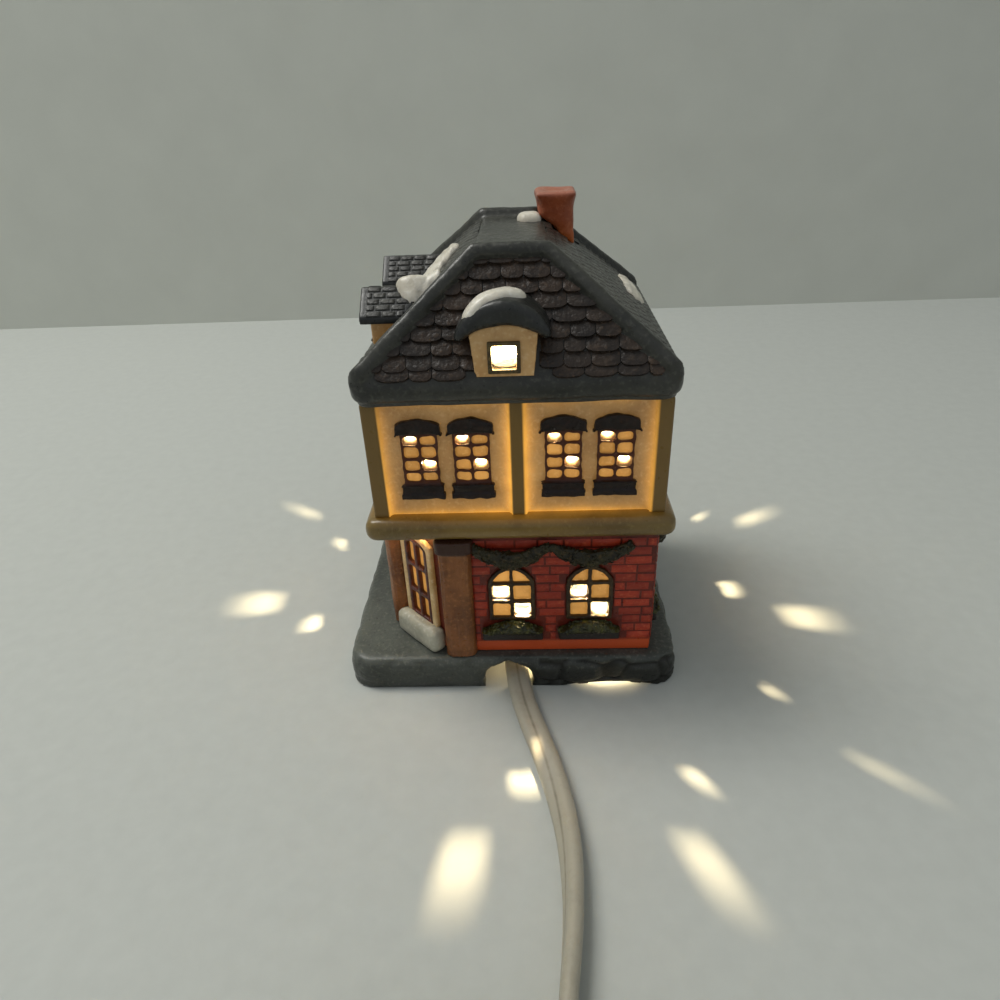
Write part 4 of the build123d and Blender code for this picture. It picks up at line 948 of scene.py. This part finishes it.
# The belt ledge: a smooth rolled ring between the storeys under an olive-cream glaze,
# glossy, with the lamp's light in the angle above it.
ledge_tan = glazed("ledge_tan", (122, 100, 48), (98, 78, 34), (130, 110, 60), 60.0, 0.08, coat=0.6,
                   marks=(("hidden", (226, 216, 196)),))
light_up(ledge_tan, (226, 150, 40), 24, 46, 0.30, "lit")
ledge_hole, ledge_lit = (26.6, 27.0), 42.6
ledge = clay_copy("belt_ledge", 0.42, 8)
x, y, z = points_of(ledge).T
within = (np.abs(x - house_middle[0]) < ledge_hole[0]) & (np.abs(y - house_middle[1]) < ledge_hole[1])
mark(ledge, "hidden", within)
mark(ledge, "lit", np.clip((z - ledge_lit) / 1.2, 0.12, 1))
seat(ledge, ledge_tan, "ledge_tan", "belt_ledge")


# The upper storey: cream clay panels with an orange-peel face, sunk between smooth posts.
# The walls are thin, so the lamp shows through them, most along the panels' edges.
upper_half, panel_half = (29.2, 28.9), (28.2, 27.9)
upper_foot, upper_head = 44.0, 68.6
post_width = 3.3
face_deep, wall_deep = 1.2, 2.9
walls = clay_copy("cream_walls", 0.42, 2, "upper_walls")
x, y, z = points_of(walls).T
off_x = np.abs(x - house_middle[0]) / upper_half[0]
off_y = np.abs(y - house_middle[1]) / upper_half[1]
faces_x = off_x > off_y
along = np.where(faces_x, off_y * upper_half[1], off_x * upper_half[0])
run_half = np.where(faces_x, upper_half[1], upper_half[0])
deep = np.where(faces_x, (1 - off_x) * upper_half[0], (1 - off_y) * upper_half[1])
inward = np.minimum(along - post_width / 2, run_half - post_width - along)
rim_near = np.minimum(inward, np.minimum(z - upper_foot, (upper_head - z) * 1.4))
wall_shine = np.where(inward > -0.4, 0.14 + 0.86 * np.exp(-np.maximum(rim_near, 0) / 0.9), 0.02)
mark(walls, "hidden", deep > face_deep)
mark(walls, "post", 0.5 - inward * 1.6)
mark(walls, "lit", np.where((deep > face_deep) & (deep < wall_deep), 1.0, wall_shine))
cream_wall = glazed("cream_wall", (200, 162, 116), (182, 142, 100), (216, 184, 140), 110.0, 0.15,
                    marks=(("post", (118, 95, 52)), ("hidden", (228, 218, 198))))
light_up(cream_wall, (246, 172, 64), 20, 60, 1.7, "lit")
tree, shader, place = works(cream_wall)
off_posts = field(tree, "SUBTRACT", 1.0, mask_of(tree, "post"))
dent(tree, shader, field(tree, "MULTIPLY", grain(tree, place, 1250.0, 3.0), off_posts), 0.8, 0.0005)
seat(walls, cream_wall, "cream_wall", "upper_walls")


# The upper windows: two panes wide with red-brown bars, each under a bowed black-brown
# lintel and over a stepped sill, all pressed on to the panels by hand.
sash_size = (7.6, 11.0)
sash_foot, lintel_foot, lintel_half = 51.4, 62.2, 4.4
panel_middles = {"front": 13.775, "right": 13.625, "back": 13.775, "left": 13.625}
sash_places = {
    side: [run_along(side, house_middle) + sign * middle + pair for sign in (-1, 1) for pair in (-5.0, 5.0)]
    for side, middle in panel_middles.items()
}
sash_brown = glazed("sash_brown", (34, 19, 12), (22, 12, 8), (52, 31, 20), 220.0, 0.4,
                    marks=(("bars", (82, 40, 22)),))


def knife_marks(spot, normal):
    bow = -0.17 if sash_foot + 0.2 < spot.z < lintel_foot else 0.0
    if sash_foot - 1.8 < spot.z < sash_foot + 0.2 and abs(normal.z) < 0.6:
        bow = -0.35
    return bow + 0.24 * noise.noise(spot * 0.7) - 0.10


for side in wall_ways:
    sashes = clay_copy(f"sashes_{side}", 0.22, 2, f"sash_windows_{side}")
    spots = points_of(sashes)
    z = spots[:, 2]
    mark(sashes, "bars", np.clip((z - sash_foot) / 0.4, 0, 1) * np.clip((lintel_foot + 0.1 - z) / 0.4, 0, 1))
    for vertex, spot in zip(sashes.data.vertices, spots):
        off = min(abs(run_along(side, spot) - along) for along in sash_places[side]) / lintel_half
        vertex.co.z += (0.4 - 1.3 * off * off) * min(max((spot[2] - lintel_foot) / 0.6, 0.0), 1.0) * MM
    press(sashes, knife_marks)
    seat(sashes, sash_brown, "frame_brown", f"sash_windows_{side}")
    to_panel = wall_placer(side, panel_half, sash_foot, -0.05)
    pane_plates(f"sash_panes_{side}", to_panel, sash_places[side], sash_size, 4, ((0, 3), (1, 1)))


# The roof: one hollow cast with thick rolls along its hips and round its eaves, brushed
# with a dark grey glaze that shines where it pools. The deck on top is smooth.
eave_level, deck_level = 73.1, 93.6
loft_top, eave_head = 91.6, 71.6
loft_low, loft_high = (25.8, 26.25), (5.7, 17.7)
roof_grey = glazed("roof_grey", (62, 62, 56), (42, 43, 39), (82, 82, 74), 80.0, 0.3, coat=0.25,
                   marks=(("hidden", (224, 214, 194)),))
roof = clay_copy("roof_body", 0.48, 9, "roof_shell", "hip_rolls")
x, y, z = points_of(roof).T
share = np.clip((z - eave_level) / (deck_level - eave_level), 0, 1)
inner_x, inner_y = (low * (1 - share) + high * share for low, high in zip(loft_low, loft_high))
inner = (np.abs(x - 2.5) < inner_x) & (np.abs(y + 2.75 + 1.75 * share) < inner_y) & (z < loft_top)
mark(roof, "hidden", inner)


def eave_roll(spot, normal):
    drift = 0.22 * noise.noise(spot * 0.14) + 0.08 * noise.noise(spot * 0.5) - 0.16
    if spot.z < eave_head and abs(normal.z) < 0.9:
        drift -= 1.3 * min((eave_head - spot.z) / 3.0, 1.0) ** 2
    return drift


press(roof, eave_roll)
rub(roof, lambda spot: spot.z < eave_head + 2.0, 8)
seat(roof, roof_grey, "roof_grey", "roof_shell", "hip_rolls")


# The slates and tiles: on the front and back slopes large hand-cut slates with rounded
# ends in brown-grey, on the sides rows of small square tiles, all pressed in the clay.
eave_corners = {"left": -27.8, "right": 33.0, "front": -34.85, "back": 29.35}
deck_corners = {"left": -4.1, "right": 8.9, "front": -23.0, "back": 14.0}
slope_ends = {"front": ("left", "right"), "right": ("front", "back"), "back": ("right", "left"),
              "left": ("back", "front")}
dormer_middle, dormer_head, dormer_wide, dormer_sill = 0.8, 84.0, (6.4, 4.2), 76.2
gable_middles, gable_clear, gable_head = {"near": -14.31, "far": 12.57}, 5.2, 84.5
chimney_middle, chimney_clear = (11.5, 9.5), (4.4, 4.6)


def slope_corner(side, end, corners, level):
    across, along = (side, end) if side in ("left", "right") else (end, side)
    return Vector((corners[across], corners[along], level))


def slope_pads(side, rows, width, spread, overlap, lift, gap, taken):
    """Rows of pads up a slope between its hips; taken says where something else stands."""
    low, high = ([slope_corner(side, end, corners, level) for end in slope_ends[side]]
                 for corners, level in ((eave_corners, eave_level), (deck_corners, deck_level)))
    right = (low[1] - low[0]).normalized()
    rise = high[0] - low[0]
    rise -= right * rise.dot(right)
    up = rise.normalized()
    out = right.cross(up)
    pitch = rise.length / rows
    spots = []
    for row in range(rows):
        share = (row + 0.2) / rows
        left_end, right_end = low[0].lerp(high[0], share), low[1].lerp(high[1], share)
        start = 1.5 if row else 3.6
        stop = (right_end - left_end).length - start
        run = start - dice.uniform(0.2, 0.8) * width
        while run < stop:
            wide = width * dice.uniform(1 - spread, 1 + spread)
            a, b = max(run, start), min(run + wide, stop)
            run += wide
            tone, shift = dice.random(), dice.uniform(-0.12, 0.12)
            long = pitch * (1 + overlap) * dice.uniform(0.94, 1.08) if row < rows - 1 else pitch * 0.75
            if b - a < 0.35 * width:
                continue
            height = long / 2 - 0.25 * pitch + (shift if row else 0.9)
            place = left_end + right * (a + b) / 2 + up * height + out * (-0.08 - lift / 2)
            if taken(place):
                continue
            tilt = up * long - out * lift
            tilt += right * dice.uniform(-spread, spread) * 0.12 * long
            across = (right - tilt.normalized() * right.dot(tilt.normalized())).normalized()
            spots.append((place * MM, across, tilt, (b - a) - gap, long, tone))
    return spots


def by_front_dormer(place):
    return abs(place.x - dormer_middle) < dormer_wide[place.z >= dormer_sill] and place.z < dormer_head


def by_side_dormer(place):
    return min(abs(place.y - middle) for middle in gable_middles.values()) < gable_clear and place.z < gable_head


def by_chimney(place):
    return all(abs(place[way] - chimney_middle[way]) < chimney_clear[way] for way in (0, 1))


def nowhere(place):
    return False


slate_brown = glazed("slate_brown", (58, 45, 34), (38, 30, 23), (82, 64, 48), 210.0, 0.75, coat=0.15,
                     marks=(("tone_dark", (38, 34, 31)),))
tile_grey = glazed("tile_grey", (56, 55, 49), (38, 37, 34), (78, 75, 65), 180.0, 0.4, coat=0.2,
                   marks=(("tone_dark", (36, 36, 34)),))
roof_shade = (0.4, 1.2, 0.65)
for side, taken, slot in (("front", by_front_dormer, "slate_brown"), ("back", nowhere, "roof_grey")):
    lay_pads(f"{side}_slates", slope_pads(side, 9, 5.0, 0.24, 0.22, 0.8, 0.14, taken), 0.85, 0.22, 0.12,
             slate_brown, roof_shade, slot, f"{side}_shingles")
for side, taken in (("right", by_chimney), ("left", by_side_dormer)):
    lay_pads(f"{side}_tiles", slope_pads(side, 15, 3.3, 0.14, 0.12, 0.5, 0.2, taken), 0.55, 0.05, 0.15,
             tile_grey, roof_shade, "roof_grey", f"{side}_shingles")


# The front dormer: a cream wall that widens upwards round a square hole with an olive
# frame, under a thick arched cap of dark clay.
dormer_cream = glazed("dormer_cream", (200, 164, 114), (176, 136, 88), (214, 188, 144), 120.0, 0.2, coat=0.3)
light_up(dormer_cream, (238, 170, 80), 26, 62, 0.22)
plain_clay("front_dormer_wall", 0.3, 4, dormer_cream, "cream_wall")
olive_frame = glazed("olive_frame", (92, 76, 36), (64, 50, 24), (124, 104, 56), 220.0, 0.3, coat=0.35)
plain_clay("front_dormer_frame", 0.2, 4, olive_frame, "frame_brown")
cap_black = glazed("cap_black", (42, 43, 40), (28, 29, 28), (60, 61, 57), 90.0, 0.25, coat=0.3)
cap = clay_copy("front_dormer_cap", 0.34, 9)
press(cap, lambda spot, normal: 0.35 * noise.noise(spot * 0.25) + (0.75 if normal.z > -0.2 else 0.1))
seat(cap, cap_black, "roof_grey", "front_dormer_cap")


# The side dormers: two small gabled walls on the left slope with a window hole each,
# under pitched roofs of square tiles with thick dark edges.
gable_half, gable_rise, gable_low = 5.9, 4.6, 81.43
gable_front = -26.6 + 0.9
gable_length = math.hypot(gable_half, gable_rise)
gable_pitch = gable_length / 5.2
gable_joint = 0.3
slope_run = (deck_corners["left"] - eave_corners["left"]) / (deck_level - eave_level)
for name, along in gable_middles.items():
    plain_clay(f"side_dormer_{name}_wall", 0.32, 4, dormer_cream, "cream_wall")
    plain_clay(f"side_dormer_{name}_roof", 0.34, 7, cap_black, "roof_grey")
    spots = []
    for sign in (-1, 1):
        up = Vector((0, -sign * gable_half, gable_rise)) / gable_length
        right = Vector((-sign, 0, 0))
        out = right.cross(up)
        for row in range(5):
            height = (row + 0.55) * gable_pitch
            level = gable_low + height * gable_rise / gable_length
            across = along + sign * gable_half * (1 - height / gable_length)
            stop = eave_corners["left"] + (level - eave_level) * slope_run - 0.6
            run = gable_front - (row % 2) * 1.3
            while run < stop:
                wide = dice.uniform(2.5, 3.2)
                a, b = max(run, gable_front), min(run + wide, stop)
                run += wide
                tone = dice.random()
                if b - a > 1.0:
                    place = Vector(((a + b) / 2, across, level)) - out * 0.1
                    spots.append((place * MM, right, up, b - a - gable_joint, gable_pitch - gable_joint, tone))
    lay_pads(f"side_dormer_{name}_tiles", spots, 0.34, 0.04, 0.5, tile_grey, roof_shade, "roof_grey")


# The chimney: a soft square stack across the deck's right edge with a flared rim and a
# blind flue, painted brick orange, with the lamp's glow painted in amber at its foot.
flue_half, flue_foot, flue_fill = 2.6, 95.0, 98.6
# The foot mark is a painted glow: the lamp's light, shown as amber at the chimney's foot.
chimney_brick = glazed("chimney_brick", (160, 82, 48), (130, 60, 34), (184, 110, 74), 130.0, 0.35,
                       marks=(("foot", (190, 98, 34)), ("head", (176, 120, 100))))
chimney = clay_copy("chimney", 0.32, 4)
for vertex in chimney.data.vertices:
    off = vertex.co * 1000 - Vector((*chimney_middle, flue_foot))
    if abs(off.x) < flue_half and abs(off.y) < flue_half and off.z > 0:
        vertex.co.z = flue_fill * MM
rub(chimney, lambda spot: spot.z > 91.0, 70)
z = points_of(chimney)[:, 2]
# Painted glow, strongest at the chimney's foot.
mark(chimney, "foot", np.clip((93.4 - z) / 5.0, 0, 0.9))
mark(chimney, "head", np.clip((z - 98.2) / 0.8, 0, 0.7))
press(chimney, lambda spot, normal: 0.25 * noise.noise(spot * 0.25))
seat(chimney, chimney_brick, "chimney_brick", "chimney")


# The snow: strokes and lumps of thick white slip dabbed on the roof, at the side dormers,
# on the dormer's cap, beside the chimney and by the right eave.
snow_white = glazed("snow_white", (224, 218, 202), (200, 192, 174), (236, 232, 222), 160.0, 0.3, coat=0.3)
tree, shader, place = works(snow_white)
feed(tree, shader, {"Subsurface Weight": 0.12, "Subsurface Radius": (0.0012, 0.001, 0.0008)})
snow_top, snow_rest, snow_foot, snow_sunk = 120.0, 84.0, 70.0, 0.5
stroke_steps, stroke_turns = 32, 12
covered = bmesh.new()
for name in ("glazed_roof_body", "front_slates", "right_tiles", "left_tiles", "glazed_front_dormer_cap",
             "glazed_side_dormer_near_roof", "glazed_side_dormer_far_roof"):
    covered.from_mesh(bpy.data.objects[name].data)
ground = BVHTree.FromBMesh(covered)
covered.free()


def snow_stroke(name, strokes):
    """Dabs of slip laid over whatever is under them. A stroke is its line in plan, its width and its depth."""
    dabs = []
    for line, width, depth in strokes:
        line = [Vector((*point, 0)) for point in line]
        rings = []
        for step in range(stroke_steps + 1):
            share = step / stroke_steps * (len(line) - 1)
            first = min(int(share), len(line) - 2)
            middle = line[first].lerp(line[first + 1], share - first)
            heading = (line[first + 1] - line[first]).normalized()
            across = Vector((-heading.y, heading.x, 0))
            end = 1 - (2 * step / stroke_steps - 1) ** 4
            half = width / 2 * math.sqrt(max(end, 0.02)) * (1 + 0.18 * noise.noise(middle * 0.5))
            over, under = [], []
            for turn in range(stroke_turns + 1):
                off = 2 * turn / stroke_turns - 1
                place = middle + across * (off * half)
                hit = ground.ray_cast(Vector((place.x, place.y, snow_top)) * MM, Vector((0, 0, -1)))[0]
                if hit is None or hit.z < snow_foot * MM:
                    hit = ground.find_nearest(Vector((place.x, place.y, snow_rest)) * MM)[0]
                swell = depth * math.sqrt(max(1 - off * off, 0.0)) * math.sqrt(max(end, 0.0))
                swell += 0.1 * noise.noise(place * 0.9)
                over.append(hit + Vector((0, 0, swell * MM)))
                under.append(hit - Vector((0, 0, snow_sunk * MM)))
            rings.append(over + under[::-1])
        dabs.append(rings)
    seat(clay_skin(name, dabs, 0.24, 14), snow_white, "snow_white", name)


snow_stroke("snow_dormer", [([(-6.3, -33.3), (-4.2, -33.0), (-1.0, -32.0), (2.4, -30.6), (4.8, -29.2)], 4.6, 1.2)])
snow_stroke("snow_chimney", [([(3.4, 6.4), (8.4, 7.6)], 5.4, 1.7)])
snow_stroke("snow_valleys", [([(-19.4, -16.0), (-15.8, -13.4), (-11.8, -11.2)], 7.4, 2.1),
                             ([(-17.0, -8.8), (-14.0, -2.8), (-10.4, 4.2)], 7.6, 2.0)])
snow_stroke("snow_right", [([(28.6, 3.6), (29.2, 11.0), (27.8, 18.0)], 4.8, 1.3)])
